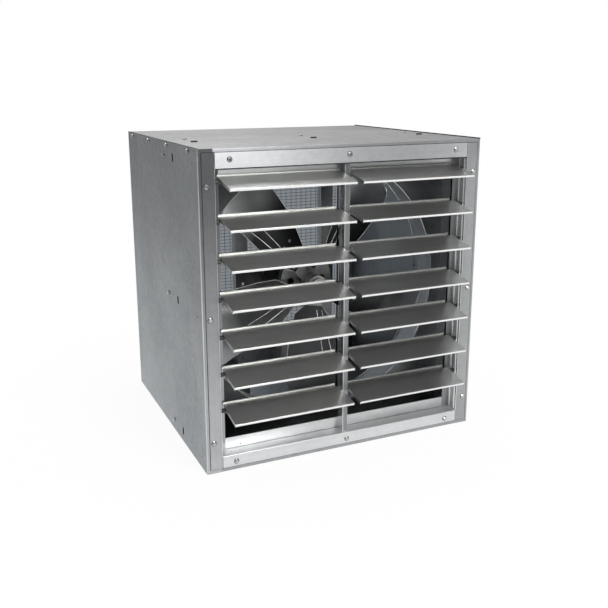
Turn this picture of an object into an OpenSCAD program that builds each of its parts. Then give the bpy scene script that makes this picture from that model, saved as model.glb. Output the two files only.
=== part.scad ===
// Cabinet exhaust fan: sheet-metal cabinet, twin-column gravity shutter, 30 inch propeller.
// Millimetres, +Z up, origin at the centre of the base. The shutter faces -Y.

/* [Cabinet] */
// width across the side panels
cab_w = 838; // [820:1:1000]
// depth from front flange to rear flange
cab_d = 758; // [700:1:900]
// height
cab_h = 866; // [850:1:1000]
// cabinet sheet thickness
sheet = 1.5; // [1.2:0.1:2]
// width of the front and rear return flanges on the sides
return_w = 40; // [34:1:42]
// height of the seam flanges on the top and bottom pans
seam_h = 25; // [20:1:28]
// depth of the slots in the cabinet walls behind the front
slot_depth = 226; // [210:1:240]
// length of a mounting slot
slot_len = 17.6; // [12:0.1:24]
// width of a mounting slot
slot_w = 5.6; // [4.5:0.1:7]
// depth of the front hole line behind the front
hole_depth = 44; // [35:1:60]
// radius of the front line holes
hole_r = 2.6; // [2:0.1:4]

/* [Shutter frame] */
// sheet thickness of the shutter frame
frame_t = 1.2; // [1:0.1:1.5]
// depth of the frame channel
frame_d = 42; // [42:1:60]
// width of the face flange
face_w = 34; // [30:1:35]
// distance of the shutter opening from the cabinet side
jamb_inset = 44.2; // [44:0.1:60]
// height of the head rail face
head_h = 40; // [38:1:44]
// height of the sill rail face
sill_h = 33; // [32:1:40]
// margin of the frame face inside the cabinet top
frame_margin = 10; // [8:0.5:10]
// inward rear flange of head and jambs
rear_lip = 22; // [15:1:24]
// upward rear flange of the sill
sill_lip = 32; // [20:1:34]
// width of the centre mullion
mullion_w = 15.4; // [13:0.2:16]
// setback of the mullion front behind the cabinet front
mullion_setback = 11; // [6:1:13]

/* [Shutter blades] */
// drop of the top pivot line below the head rail
pivot_drop = 35.5; // [35:0.5:38]
// clearance of the lowest blade above the sill
sill_gap = 20.4; // [18:0.1:24]
// pivot depth behind the cabinet front
pivot_depth = 22; // [21:0.5:22]
// overlap of two closed blades
blade_lap = 0.7; // [-3:0.1:1]
// blade reach behind the pivot
blade_rear = 18; // [17.5:0.5:18]
// blade plane above the pivot
blade_rise = 9; // [8.5:0.1:9.5]
// blade sheet thickness
blade_t = 0.8; // [0.6:0.1:1]
// resting angle below the horizontal
rest_angle = 11.5; // [8:0.5:30]
// height of the down-turned front hem
front_hem = 6; // [5:0.5:7]
// height of the upturned rear hem
rear_hem = 5; // [3:0.5:5]
// pivot pin radius
pin_r = 2.5; // [2:0.1:3]
// radial running clearance of the pivot pins
pin_gap = 0.05; // [0.02:0.01:0.1]

/* [Tie bars] */
// width of the tie bar strip
tie_w = 6; // [5:0.5:6]
// thickness of the tie bar strip
tie_t = 1.5; // [1:0.1:1.8]
// tie pin distance behind the pivot
tie_back = 14.5; // [13:0.5:14.5]
// tie pin height above the pivot line
tie_rise = 3; // [2:0.5:3.5]
// tie pin radius
tie_pin_r = 1.7; // [1.4:0.1:1.8]

/* [Orifice panel] */
// depth of the panel plane behind the front
orifice_depth = 178; // [170:1:184]
// distance of the ring from the nearest cabinet wall
ring_margin = 33; // [29:0.5:40]
// growth of the ring radius towards its rear edge
ring_flare = 10; // [6:1:12]
// length of the spun ring
ring_len = 102; // [90:1:110]
// length of the pan flanges
pan_len = 152; // [145:1:165]
// distance of the pan screws from the pan's rear edge
pan_screw_edge = 13; // [10:1:18]

/* [Propeller] */
// gap between the blade tips and the ring
tip_gap = 7; // [7:0.5:26]
// number of blades
blade_n = 5; // [5:1:5]
// blade sheet thickness
prop_t = 2.4; // [2:0.1:3]
// mean pitch angle of a blade
pitch_angle = 23; // [16:1:26]
// radius of the rolled camber
camber_r = 520; // [420:10:800]
// skew of the rolling axis, gives the blade its twist
skew_angle = 32; // [0:1:35]
// angle of the first blade in the rest position
first_blade_angle = 125; // [0:1:359]
// distance of the blade middle behind the orifice plate
prop_set = 48; // [44:1:52]
// hub radius
hub_r = 30; // [28:1:36]
// hub length
hub_len = 56; // [48:1:60]

/* [Motor] */
// shaft radius
shaft_r = 9.5; // [8:0.5:12]
// motor shell radius
motor_r = 84; // [78:1:90]
// distance of the motor front face behind the blade middle
motor_set = 52; // [48:1:58]
// length of the motor
motor_len = 160; // [150:1:180]
// thickness of the motor mounting plate
plate_t = 4; // [3:0.5:6]
// height of the motor mounting plate
plate_h = 110; // [100:1:130]
// distance of the motor struts from the middle
strut_x = 150; // [140:1:160]
// width of a motor strut
strut_w = 42; // [34:1:48]
// depth of a motor strut channel
strut_d = 28; // [20:1:40]
// strut sheet thickness
strut_t = 2.5; // [2:0.1:3]

/* [Rear guard] */
// thickness of the guard frame bands
guard_t = 2; // [1.5:0.5:4]
// spacing of the guard wires
wire_pitch = 50; // [48:1:60]
// radius of a guard wire
wire_r = 1.2; // [1:0.1:1.5]
// width of the guard frame
guard_band = 24; // [18:1:28]

/* [Fasteners] */
// hex head size across flats
hex_af = 9.5; // [8:0.1:11]
// hex head height
hex_h = 4.6; // [3:0.1:6]
// washer flange radius
washer_r = 6.4; // [6:0.1:7]
// screw shank radius
screw_r = 2.1; // [1.5:0.1:2.2]
// clearance between a screw and its hole
screw_gap = 0.3; // [0.2:0.05:0.5]

/* [Hidden] */
$fn = 48;
fit = 0.3;
press_gap = 0.02;
cut = 1;
hex_sides = 6;
rows = 7;
front_y = -cab_d / 2;
side_in = cab_w / 2 - sheet;
pan_in = side_in - sheet;
pan_face_gap = 4;
open_half_w = cab_w / 2 - jamb_inset;
open_top = cab_h - frame_margin - head_h;
frame_low = 11;
open_bottom = frame_low + sill_h;
row_pitch = (open_top - open_bottom - pivot_drop - sill_gap) / rows;
blade_front = row_pitch - blade_rear + blade_lap;
jamb_gap = 16.8;
mullion_gap = 1.8;
blade_inner = mullion_w / 2 + mullion_gap;
blade_outer = open_half_w - jamb_gap;
blade_len = blade_outer - blade_inner;
mid_drop = 3;
mid_z = cab_h / 2 - mid_drop;
head_screw_drop = 28;
head_z = cab_h - head_screw_drop;
sill_z = 24;
jamb_screw_inset = 21;
jamb_screw_x = cab_w / 2 - jamb_screw_inset;
jamb_screw_end = 87;
jamb_screw_rise = mid_z - jamb_screw_end;
rail_screw_inset = 83;
rail_screw_x = cab_w / 2 - rail_screw_inset;
line_end = 33;
line_rise = mid_z - line_end;
top_line_inset = 62;
top_line_x = cab_w / 2 - top_line_inset;
edge_screw_drop = 10;
edge_screw_z = cab_h - edge_screw_drop;
edge_first = 78;
edge_last = 68;
edge_step = (cab_d - edge_first - edge_last) / 3;
edge_screw_depths = [for (k = [0:3]) edge_first + k * edge_step];
wall_reach = 8;
shank_l = 12;
notch_w = 12;
ear_r = 7;
side_drop = 8;
hem_r = 1.3;
tie_x = 7.5;
eyelet_wall = 0.5;
eyelet_rim = 0.9;
eyelet_cheek = 1;
bushing_r = 6;
bushing_neck = 1.5;
bushing_tail = 4;
bore_r = pin_r + pin_gap;
jamb_pin_l = 10;
mullion_pin_l = 6;
pan_end = orifice_depth + pan_len;
pan_screw_depth = pan_end - pan_screw_edge;
ring_r = min(cab_w, cab_h) / 2 - ring_margin;
ring_rear_r = ring_r + ring_flare;
ring_rim = 5;
ring_flange = 18;
axis_z = cab_h / 2;
tip_r = ring_r - tip_gap;
prop_depth = orifice_depth + prop_set;
blade_mid_r = 0.612 * tip_r;
blade_depth = 0.42 * tip_r;
arm_t = 4;
rivet_radii = [0.3 * tip_r, 0.41 * tip_r];
rivet_half = 0.042 * tip_r;
rivet_head_r = 4.5;
rivet_head_h = 2.2;
nose_wall = 12;
nose_l = 8;
motor_front = prop_depth + motor_set;
plate_depth = motor_front + motor_len;
rotor_r = 46;
core_inset = 42;
winding_inset = 28;
stator_r = motor_r - 3;
bell_wall = 8;
bell_face = 5;
vent_r = 11;
vent_line = 52;
bearing_r = 20;
bearing_l = 12;
bell_l = 22;
bell_bolt_r = motor_r - 10;
bell_bolt_angles = [30, 150, 210, 330];
plate_bore = bearing_r + 10;
plate_bolt_rise = plate_h / 2 - 21;
guard_depth = cab_d - sheet - guard_t;
guard_inset = 4;
box_w = 92;
box_h = 72;
box_d = 36;
box_x = 14;
box_z = 152;
cabinet_grey = [0.62, 0.64, 0.65];
flange_grey = [0.72, 0.73, 0.74];
blade_grey = [0.80, 0.81, 0.82];
dark_grey = [0.25, 0.26, 0.27];
nylon_black = [0.07, 0.07, 0.07];

// A box from one corner to the opposite one, given as X, depth and Z limits.
module slab(x0, x1, d0, d1, z0, z1) {
    translate([x0, front_y + d0, z0]) cube([x1 - x0, d1 - d0, z1 - z0]);
}

// A rod along X from x0 to x1 at a depth and height.
module rod_x(x0, x1, d, z, r) {
    translate([x0, front_y + d, z]) rotate([0, 90, 0]) cylinder(r = r, h = x1 - x0);
}

// A rod along Y from depth d0 to d1.
module rod_y(x, d0, d1, z, r) {
    translate([x, front_y + d1, z]) rotate([90, 0, 0]) cylinder(r = r, h = d1 - d0);
}

// A rod along Z from z0 to z1.
module rod_z(x, d, z0, z1, r) {
    translate([x, front_y + d, z0]) cylinder(r = r, h = z1 - z0);
}

// A vertical slot through a side wall near x.
module side_slot(x, z) {
    half = slot_len / 2 - slot_w / 2;
    slab(x - wall_reach, x + wall_reach, slot_depth - slot_w / 2, slot_depth + slot_w / 2,
        z - half, z + half);
    for (s = [-1, 1]) rod_x(x - wall_reach, x + wall_reach, slot_depth, z + s * half, slot_w / 2);
}

// A slot along X through the top wall.
module top_slot(x) {
    half = slot_len / 2 - slot_w / 2;
    slab(x - half, x + half, slot_depth - slot_w / 2, slot_depth + slot_w / 2,
        cab_h - wall_reach, cab_h + wall_reach);
    for (s = [-1, 1]) rod_z(x + s * half, slot_depth, cab_h - wall_reach, cab_h + wall_reach, slot_w / 2);
}

// A screw hole through the top wall over the orifice pan.
module top_screw_hole(x) {
    rod_z(x, pan_screw_depth, cab_h - wall_reach, cab_h + wall_reach, screw_r + screw_gap);
}

// Holes for the side wall fasteners on one side, s is -1 left or 1 right.
module side_holes(s) {
    x = s * cab_w / 2;
    r = screw_r + screw_gap;
    for (k = [-1, 0, 1]) {
        side_slot(x, mid_z + k * line_rise);
        rod_x(x - wall_reach, x + wall_reach, pan_screw_depth, mid_z + k * line_rise, r);
        rod_x(x - wall_reach, x + wall_reach, hole_depth, mid_z + k * line_rise, hole_r);
    }
    for (d = edge_screw_depths) rod_x(x - wall_reach, x + wall_reach, d, edge_screw_z, r);
}

// Holes in the cabinet front flanges and the shutter face for the shutter screws.
module face_holes() {
    r = screw_r + screw_gap;
    for (s = [-1, 1], k = [-1, 0, 1]) {
        rod_y(s * jamb_screw_x, -wall_reach, wall_reach, mid_z + k * jamb_screw_rise, r);
    }
    for (k = [-1, 0, 1], z = [sill_z, head_z]) rod_y(k * rail_screw_x, -wall_reach, wall_reach, z, r);
}

// Holes in the rear flanges and the guard frame for the guard screws.
module guard_holes() {
    r = screw_r + screw_gap;
    x = guard_side();
    for (s = [-1, 1], k = [-1, 0, 1]) {
        rod_y(s * x, guard_depth - shank_l, cab_d + shank_l, mid_z + k * jamb_screw_rise, r);
    }
    for (k = [-1, 0, 1], z = [guard_low(), guard_high()]) {
        rod_y(k * rail_screw_x, guard_depth - shank_l, cab_d + shank_l, z, r);
    }
}

function guard_low() = guard_band / 2 + guard_t;
function guard_high() = cab_h - guard_band / 2 - guard_t;
function guard_side() = side_in - guard_band / 2 - guard_inset;

// One side panel with its front and rear return flanges.
module side_panel(s) {
    color(cabinet_grey)
    difference() {
        union() {
            if (s < 0) slab(-cab_w / 2, -side_in, 0, cab_d, 0, cab_h);
            if (s > 0) slab(side_in, cab_w / 2, 0, cab_d, 0, cab_h);
            for (d = [0, cab_d - sheet]) {
                if (s < 0) slab(-cab_w / 2, -cab_w / 2 + return_w, d, d + sheet, 0, cab_h);
                if (s > 0) slab(cab_w / 2 - return_w, cab_w / 2, d, d + sheet, 0, cab_h);
            }
        }
        side_holes(s);
        face_holes();
        guard_holes();
    }
}

module left_side_panel() { side_panel(-1); }

module right_side_panel() { side_panel(1); }

// A top or bottom pan: web, seam flanges on the sides, return flanges front and rear.
module pan(low, flip) {
    face_x = cab_w / 2 - return_w;
    z0 = flip ? cab_h - sheet : 0;
    seam0 = flip ? cab_h - seam_h : 0;
    face0 = flip ? cab_h - low : 0;
    slab(-side_in, side_in, sheet, cab_d - sheet, z0, z0 + sheet);
    for (s = [-1, 1]) {
        x = s < 0 ? -side_in : pan_in;
        slab(x, x + sheet, sheet, cab_d - sheet, seam0, seam0 + seam_h);
    }
    for (d = [0, cab_d - sheet]) {
        slab(-face_x, face_x, d, d + sheet, face0, face0 + low);
    }
}

module top_panel() {
    color(cabinet_grey)
    difference() {
        pan(cab_h - open_top - pan_face_gap, true);
        for (k = [-1, 0, 1]) {
            top_slot(k * top_line_x);
            top_screw_hole(k * top_line_x);
        }
        for (s = [-1, 1]) side_holes(s);
        face_holes();
        guard_holes();
    }
}

module bottom_panel() {
    color(cabinet_grey)
    difference() {
        pan(open_bottom - pan_face_gap, false);
        face_holes();
        guard_holes();
    }
}

// Orifice pan: pressed plate with a round opening, flanges running back on all four walls.
module orifice_panel() {
    seam = seam_h + 2;
    color(cabinet_grey)
    difference() {
        slab(-side_in, side_in, orifice_depth, pan_end, sheet, cab_h - sheet);
        slab(-pan_in, pan_in, orifice_depth + sheet, pan_end + cut, 2 * sheet, cab_h - 2 * sheet);
        for (s = [-1, 1], z = [-cut, cab_h - seam]) {
            x = s < 0 ? -side_in - cut : pan_in - fit;
            slab(x, x + sheet + fit + cut, orifice_depth - cut, pan_end + cut, z, z + seam + cut);
        }
        rod_y(0, orifice_depth - cut, pan_end, axis_z, ring_r + 1);
        for (s = [-1, 1]) side_holes(s);
        for (k = [-1, 0, 1]) {
            top_slot(k * top_line_x);
            top_screw_hole(k * top_line_x);
        }
    }
}

// Spun orifice ring: a flange welded to the back of the plate, a flared barrel and a rolled rim.
module orifice_ring() {
    flange_r = ring_r + ring_flange;
    barrel_gap = 0.4;
    color(cabinet_grey)
    translate([0, front_y + orifice_depth + sheet, axis_z]) rotate([-90, 0, 0])
        rotate_extrude($fn = 144) polygon([
            [ring_r, 0], [flange_r, 0], [flange_r, sheet], [ring_r + sheet + barrel_gap, sheet],
            [ring_rear_r + sheet, ring_len - ring_rim], [ring_rear_r + ring_rim, ring_len - sheet],
            [ring_rear_r + ring_rim, ring_len], [ring_rear_r, ring_len - sheet]]);
}

// One jamb: face flange, wall and inward rear flange, with its bushing holes.
module jamb(s) {
    x_out = open_half_w + frame_t;
    color(flange_grey)
    difference() {
        union() {
            x0 = s < 0 ? -open_half_w - face_w : open_half_w;
            slab(x0, x0 + face_w, -frame_t, 0, frame_low, cab_h - frame_margin);
            x1 = s < 0 ? -x_out : open_half_w;
            slab(x1, x1 + frame_t, -frame_t, frame_d, open_bottom - frame_t, open_top + frame_t);
            x2 = s < 0 ? -open_half_w : open_half_w - rear_lip;
            slab(x2, x2 + rear_lip, frame_d - frame_t, frame_d, open_bottom, open_top);
        }
        face_holes();
        for (i = [1:rows]) {
            x3 = s * x_out;
            rod_x(x3 - bushing_tail, x3 + bushing_tail, pivot_depth, pivot_z(i), bushing_r - bushing_neck);
        }
    }
}

module left_jamb() { jamb(-1); }

module right_jamb() { jamb(1); }

function pivot_z(i) = open_bottom + sill_gap + (rows - i + 1) * row_pitch;

module head_rail() {
    color(flange_grey)
    difference() {
        union() {
            slab(-open_half_w, open_half_w, -frame_t, 0, open_top, open_top + head_h);
            slab(-open_half_w, open_half_w, -frame_t, frame_d, open_top, open_top + frame_t);
            slab(-open_half_w + rear_lip, open_half_w - rear_lip, frame_d - frame_t, frame_d,
                open_top - rear_lip, open_top + frame_t);
        }
        face_holes();
    }
}

module sill_rail() {
    edge = open_half_w - rear_lip;
    color(flange_grey)
    difference() {
        union() {
            slab(-open_half_w, open_half_w, -frame_t, 0, frame_low, open_bottom);
            slab(-open_half_w, open_half_w, -frame_t, frame_d, open_bottom - frame_t, open_bottom);
            slab(-edge, edge, frame_d - frame_t, frame_d, open_bottom - frame_t, open_bottom + sill_lip);
        }
        face_holes();
    }
}

// Centre mullion: a channel open to the rear that carries the middle bushings.
module mullion() {
    half = mullion_w / 2;
    front = mullion_setback;
    back = frame_d - frame_t;
    color(flange_grey)
    difference() {
        slab(-half, half, front, back, open_bottom, open_top);
        slab(-half + frame_t, half - frame_t, front + frame_t, back + cut,
            open_bottom + frame_t, open_top - frame_t);
        for (i = [1:rows])
            rod_x(-half - cut, half + cut, pivot_depth, pivot_z(i), bushing_r - bushing_neck + fit);
    }
}

// Nylon bushings: a shouldered one in each jamb and a double one in the mullion per row.
module pivot_bushings() {
    half = mullion_w / 2;
    color(nylon_black)
    for (i = [1:rows]) {
        z = pivot_z(i);
        for (s = [-1, 1]) difference() {
            union() {
                a = s < 0 ? -open_half_w : blade_outer + fit;
                rod_x(a, a + open_half_w - blade_outer - fit, pivot_depth, z, bushing_r);
                b = s < 0 ? -open_half_w - bushing_tail : open_half_w - cut;
                rod_x(b, b + bushing_tail + cut, pivot_depth, z, bushing_r - bushing_neck - fit);
            }
            c = s < 0 ? -blade_outer - jamb_pin_l - cut : blade_outer - cut;
            rod_x(c, c + jamb_pin_l + 2 * cut, pivot_depth, z, bore_r);
        }
        difference() {
            union() {
                rod_x(-half - cut, half + cut, pivot_depth, z, bushing_r - bushing_neck);
                for (s = [-1, 1]) {
                    a = s < 0 ? -half - bushing_neck : half;
                    rod_x(a, a + bushing_neck, pivot_depth, z, bushing_r);
                }
            }
            for (s = [-1, 1]) {
                a = s < 0 ? -blade_inner - cut : blade_inner - mullion_pin_l - fit;
                rod_x(a, a + mullion_pin_l + fit + cut, pivot_depth, z, bore_r);
            }
        }
    }
}

// A shutter blade lying flat, pivot line on the X axis, front edge towards -Y.
module shutter_blade() {
    top = blade_rise + blade_t / 2;
    under = blade_rise - blade_t / 2;
    full = blade_len - notch_w;
    color(blade_grey) {
        difference() {
            union() {
                translate([0, -blade_front, under])
                    cube([blade_len, blade_front + blade_rear, blade_t]);
                translate([0, -blade_front, top - front_hem]) cube([blade_len, blade_t, front_hem]);
                translate([0, blade_rear - blade_t, under]) cube([full, blade_t, rear_hem]);
                translate([0, blade_rear - 1.5 * blade_t, top + rear_hem - blade_t])
                    rotate([0, 90, 0]) cylinder(r = hem_r, h = full);
                for (x = [0, blade_len - blade_t]) {
                    translate([x, -blade_front, top - side_drop])
                        cube([blade_t, blade_front + ear_r, side_drop]);
                    translate([x, 0, 0]) rotate([0, 90, 0]) cylinder(r = ear_r, h = blade_t);
                    translate([x, -ear_r, 0]) cube([blade_t, 2 * ear_r, blade_rise]);
                }
                translate([full - blade_t, blade_rear - notch_w - ear_r / 2, -blade_t / 2])
                    cube([blade_t, notch_w + ear_r / 2, under + blade_t]);
                translate([full - blade_t, tie_back, tie_rise]) rotate([0, 90, 0])
                    cylinder(r = tie_pin_r, h = 0.7 * notch_w);
            }
            translate([full, ear_r, under - cut]) cube([notch_w + cut, blade_rear, 2 * rear_hem]);
        }
    }
}

// The blade with its two pivot pins, s is -1 for the left column and 1 for the right one.
module shutter_leaf(s, i) {
    x = s < 0 ? -blade_outer : blade_inner;
    left_pin = s < 0 ? jamb_pin_l : mullion_pin_l;
    right_pin = s < 0 ? mullion_pin_l : jamb_pin_l;
    translate([x, front_y + pivot_depth, pivot_z(i)]) rotate([rest_angle, 0, 0]) {
        shutter_blade();
        color(blade_grey) {
            translate([-left_pin, 0, 0]) rotate([0, 90, 0]) cylinder(r = pin_r, h = left_pin + blade_t);
            translate([blade_len - blade_t, 0, 0]) rotate([0, 90, 0])
                cylinder(r = pin_r, h = right_pin + blade_t);
        }
    }
}

function tie_pin_depth() = pivot_depth + tie_back * cos(rest_angle) - tie_rise * sin(rest_angle);
function tie_pin_z(i) = pivot_z(i) + tie_back * sin(rest_angle) + tie_rise * cos(rest_angle);
function tie_pos(s) = (s < 0 ? -blade_inner : blade_outer) - tie_x;

// Flat strip that joins the seven tie pins of one column.
module tie_bar(s) {
    x = tie_pos(s);
    d = tie_pin_depth();
    color(flange_grey)
    difference() {
        slab(x, x + tie_t, d - tie_w / 2, d + tie_w / 2, tie_pin_z(rows) - tie_w, tie_pin_z(1) + tie_w);
        for (i = [1:rows]) rod_x(x - cut, x + tie_t + cut, d, tie_pin_z(i), tie_pin_r + eyelet_wall);
    }
}

// Nylon eyelets pressed into the tie bar, one on each tie pin.
module tie_eyelets(s) {
    x = tie_pos(s);
    d = tie_pin_depth();
    neck = tie_pin_r + eyelet_wall;
    color(nylon_black)
    for (i = [1:rows]) difference() {
        union() {
            rod_x(x, x + tie_t, d, tie_pin_z(i), neck);
            for (a = [x - eyelet_cheek, x + tie_t]) {
                rod_x(a, a + eyelet_cheek, d, tie_pin_z(i), neck + eyelet_rim);
            }
        }
        rod_x(x - 2 * eyelet_cheek, x + tie_t + 2 * eyelet_cheek, d, tie_pin_z(i), tie_pin_r + pin_gap);
    }
}

module left_tie_bar() { tie_bar(-1); }

module right_tie_bar() { tie_bar(1); }

module left_tie_eyelets() { tie_eyelets(-1); }

module right_tie_eyelets() { tie_eyelets(1); }

// Puts a child drawn in blade space (X outward, Y along the chord) at a blade station.
module at_blade(k) {
    translate([0, front_y + prop_depth, axis_z]) rotate([0, -first_blade_angle - k * 360 / blade_n, 0])
        rotate([90 + pitch_angle, 0, 0]) children();
}

// A rolled sheet: shell of a cylinder whose axis is skewed to the blade span.
module rolled_sheet(r_in, r_out) {
    reach = 2 * tip_r;
    translate([blade_mid_r, 0, -camber_r]) rotate([0, 0, -skew_angle]) rotate([0, 90, 0])
        difference() {
            cylinder(r = r_out, h = reach, center = true, $fn = 180);
            cylinder(r = r_in, h = reach + 4 * cut, center = true, $fn = 180);
        }
}

// Outline of a swept propeller blade in parts of the tip radius: root left, rounded tip corners.
module blade_outline() {
    lead = [[0.19, -0.07], [0.26, -0.145], [0.41, -0.180], [0.59, -0.203], [0.72, -0.200]];
    trail = [[0.80, 0.262], [0.67, 0.244], [0.52, 0.226], [0.38, 0.185], [0.26, 0.125], [0.19, 0.07]];
    lead_r = 0.12;
    trail_r = 0.05;
    lead_round = [for (a = [-85:17:0]) [0.862 + lead_r * cos(a), -0.072 + lead_r * sin(a)]];
    tip_arc = [for (a = [-3:3:12]) [cos(a), sin(a)]];
    trail_round = [for (a = [20:20:100]) [0.905 + trail_r * cos(a), 0.236 + trail_r * sin(a)]];
    polygon(tip_r * concat(lead, lead_round, tip_arc, trail_round, trail));
}

module propeller_blade(k) {
    color([0.42, 0.43, 0.44])
    at_blade(k) difference() {
        intersection() {
            rolled_sheet(camber_r, camber_r + prop_t);
            translate([0, 0, -blade_depth / 2]) linear_extrude(blade_depth) blade_outline();
        }
        rivet_set(screw_r + screw_gap);
    }
}

// The four rivet shanks of one blade in blade space.
module rivet_set(r) {
    for (x = rivet_radii, y = [-rivet_half, rivet_half])
        translate([x, y, -blade_depth / 4]) cylinder(r = r, h = blade_depth / 2);
}

module propeller_blade_1() { propeller_blade(0); }

module propeller_blade_2() { propeller_blade(1); }

module propeller_blade_3() { propeller_blade(2); }

module propeller_blade_4() { propeller_blade(3); }

module propeller_blade_5() { propeller_blade(4); }

// Cast hub: a boss and five flaring arms that follow the rolled blades.
module propeller_hub() {
    arm = tip_r * [[0.026, -0.026], [0.16, -0.07], [0.464, -0.074], [0.485, -0.053],
        [0.485, 0.053], [0.464, 0.074], [0.16, 0.07], [0.026, 0.026]];
    color([0.70, 0.71, 0.72])
    difference() {
        union() {
            rod_y(0, prop_depth - hub_len / 2, prop_depth + hub_len / 2, axis_z, hub_r);
            rod_y(0, prop_depth - hub_len / 2 - nose_l, prop_depth, axis_z, shaft_r + nose_wall);
            for (k = [0:blade_n - 1]) at_blade(k) intersection() {
                rolled_sheet(camber_r - arm_t - fit, camber_r - fit);
                translate([0, 0, -blade_depth / 2]) linear_extrude(blade_depth) polygon(arm);
            }
        }
        rod_y(0, prop_depth - hub_len, prop_depth + hub_len, axis_z, shaft_r + press_gap);
        for (k = [0:blade_n - 1]) at_blade(k) rivet_set(screw_r + screw_gap);
        rod_z(0, prop_depth, axis_z + shaft_r - cut, axis_z + 2 * hub_r, screw_r + 1.2);
    }
}

// Rivets that hold the blades on the arms.
module propeller_rivets() {
    lift = 1;
    color([0.55, 0.56, 0.57])
    for (k = [0:blade_n - 1]) at_blade(k) for (x = rivet_radii, y = [-rivet_half, rivet_half]) {
        h = rivet_height(x, y);
        low = h - arm_t - rivet_head_h - lift;
        high = h + prop_t + lift;
        translate([x, y, low]) cylinder(r = screw_r, h = high + rivet_head_h - low);
        for (z = [low, high]) translate([x, y, z]) cylinder(r = rivet_head_r, h = rivet_head_h);
    }
}

// Height of the rolled sheet's inner face above the blade plane.
function rivet_height(x, y) =
    let (off = y * cos(skew_angle) + (x - blade_mid_r) * sin(skew_angle))
    sqrt(camber_r * camber_r - off * off) - camber_r;

module hub_set_screw() {
    color(dark_grey)
    rod_z(0, prop_depth, axis_z + shaft_r + fit, axis_z + hub_r + 3, screw_r + 0.9);
}

// Shaft from the hub through both motor bearings.
module motor_shaft() {
    color([0.75, 0.76, 0.77])
    rod_y(0, prop_depth - hub_len / 2 - nose_l - 4, plate_depth - bell_face, axis_z, shaft_r);
}

module motor_rotor() {
    color([0.45, 0.45, 0.46])
    difference() {
        rod_y(0, motor_front + core_inset, plate_depth - core_inset, axis_z, rotor_r);
        rod_y(0, motor_front, plate_depth, axis_z, shaft_r + press_gap);
    }
}

module motor_stator() {
    color([0.50, 0.40, 0.30])
    difference() {
        union() {
            rod_y(0, motor_front + core_inset, plate_depth - core_inset, axis_z, stator_r - press_gap);
            rod_y(0, motor_front + winding_inset, plate_depth - winding_inset, axis_z,
                stator_r - 2 * bell_wall);
        }
        rod_y(0, motor_front, plate_depth, axis_z, rotor_r + 2 * fit);
    }
}

module motor_shell() {
    color([0.52, 0.53, 0.54])
    difference() {
        rod_y(0, motor_front + bell_l, plate_depth - bell_l, axis_z, motor_r);
        rod_y(0, motor_front, plate_depth, axis_z, stator_r);
    }
}

// End bell with a bearing seat; front is true for the propeller end.
module end_bell(front) {
    seat_l = 16;
    d0 = front ? motor_front : plate_depth - bell_l;
    hollow = front ? [d0 + bell_face, d0 + bell_l + cut] : [d0 - cut, d0 + bell_l - bell_face];
    seat = front ? [d0, d0 + seat_l] : [d0 + bell_l - seat_l, d0 + bell_l];
    difference() {
        union() {
            difference() {
                rod_y(0, d0, d0 + bell_l, axis_z, motor_r);
                rod_y(0, hollow[0], hollow[1], axis_z, motor_r - bell_wall);
            }
            rod_y(0, seat[0], seat[1], axis_z, bearing_r + bell_wall);
        }
        rod_y(0, d0 - cut, d0 + bell_l + cut, axis_z, shaft_r + 1.5);
        rod_y(0, front ? d0 + 4 : d0 - cut, front ? d0 + bell_l + cut : d0 + bell_l - 4,
            axis_z, bearing_r);
        for (a = [0:60:300])
            rod_y(vent_line * cos(a), d0 - cut, d0 + bell_l + cut, axis_z + vent_line * sin(a), vent_r);
        if (!front) plate_bolt_holes(screw_r + screw_gap);
    }
}

module plate_bolt_holes(r) {
    for (a = bell_bolt_angles)
        rod_y(bell_bolt_r * cos(a), plate_depth - shank_l - cut, plate_depth + shank_l,
            axis_z + bell_bolt_r * sin(a), r);
}

module motor_front_bell() { color([0.66, 0.67, 0.68]) end_bell(true); }

module motor_rear_bell() { color([0.66, 0.67, 0.68]) end_bell(false); }

// Two ball bearings as plain rings seated in the end bells.
module motor_bearings() {
    color([0.80, 0.81, 0.82])
    for (d = [motor_front + 4, plate_depth - 4 - bearing_l]) difference() {
        rod_y(0, d, d + bearing_l, axis_z, bearing_r - press_gap);
        rod_y(0, d - cut, d + bearing_l + cut, axis_z, shaft_r + press_gap);
    }
}

// One vertical strut: channel open to the rear with end tabs on the top and bottom pans.
module motor_strut(s) {
    half = strut_w / 2;
    x = s * strut_x;
    front = plate_depth + plate_t;
    tab = 34;
    color(flange_grey)
    difference() {
        union() {
            slab(x - half, x + half, front, front + strut_d, sheet, cab_h - sheet);
            slab(x - half, x + half, front - tab, front + strut_t, sheet, sheet + strut_t);
            slab(x - half, x + half, front - tab, front + strut_t, cab_h - sheet - strut_t, cab_h - sheet);
        }
        slab(x - half + strut_t, x + half - strut_t, front + strut_t, front + strut_d + cut,
            sheet + strut_t, cab_h - sheet - strut_t);
        strut_holes(screw_r + screw_gap);
    }
}

// Bolt positions shared by the struts, the motor plate and the cross rail.
module strut_holes(r) {
    for (s = [-1, 1]) {
        for (k = [-1, 1]) {
            rod_y(s * strut_x, plate_depth - cut, plate_depth + shank_l, axis_z + k * plate_bolt_rise, r);
        }
        rod_y(s * strut_x, plate_depth - cut, plate_depth + shank_l, box_z, r);
    }
}

module left_motor_strut() { motor_strut(-1); }

module right_motor_strut() { motor_strut(1); }

// Plate across the struts that carries the motor by its rear bell.
module motor_plate() {
    half = strut_x + strut_w / 2;
    color(dark_grey)
    difference() {
        slab(-half, half, plate_depth, plate_depth + plate_t, axis_z - plate_h / 2, axis_z + plate_h / 2);
        rod_y(0, plate_depth - cut, plate_depth + plate_t + cut, axis_z, plate_bore);
        plate_bolt_holes(screw_r + screw_gap);
        strut_holes(screw_r + screw_gap);
    }
}

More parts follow.
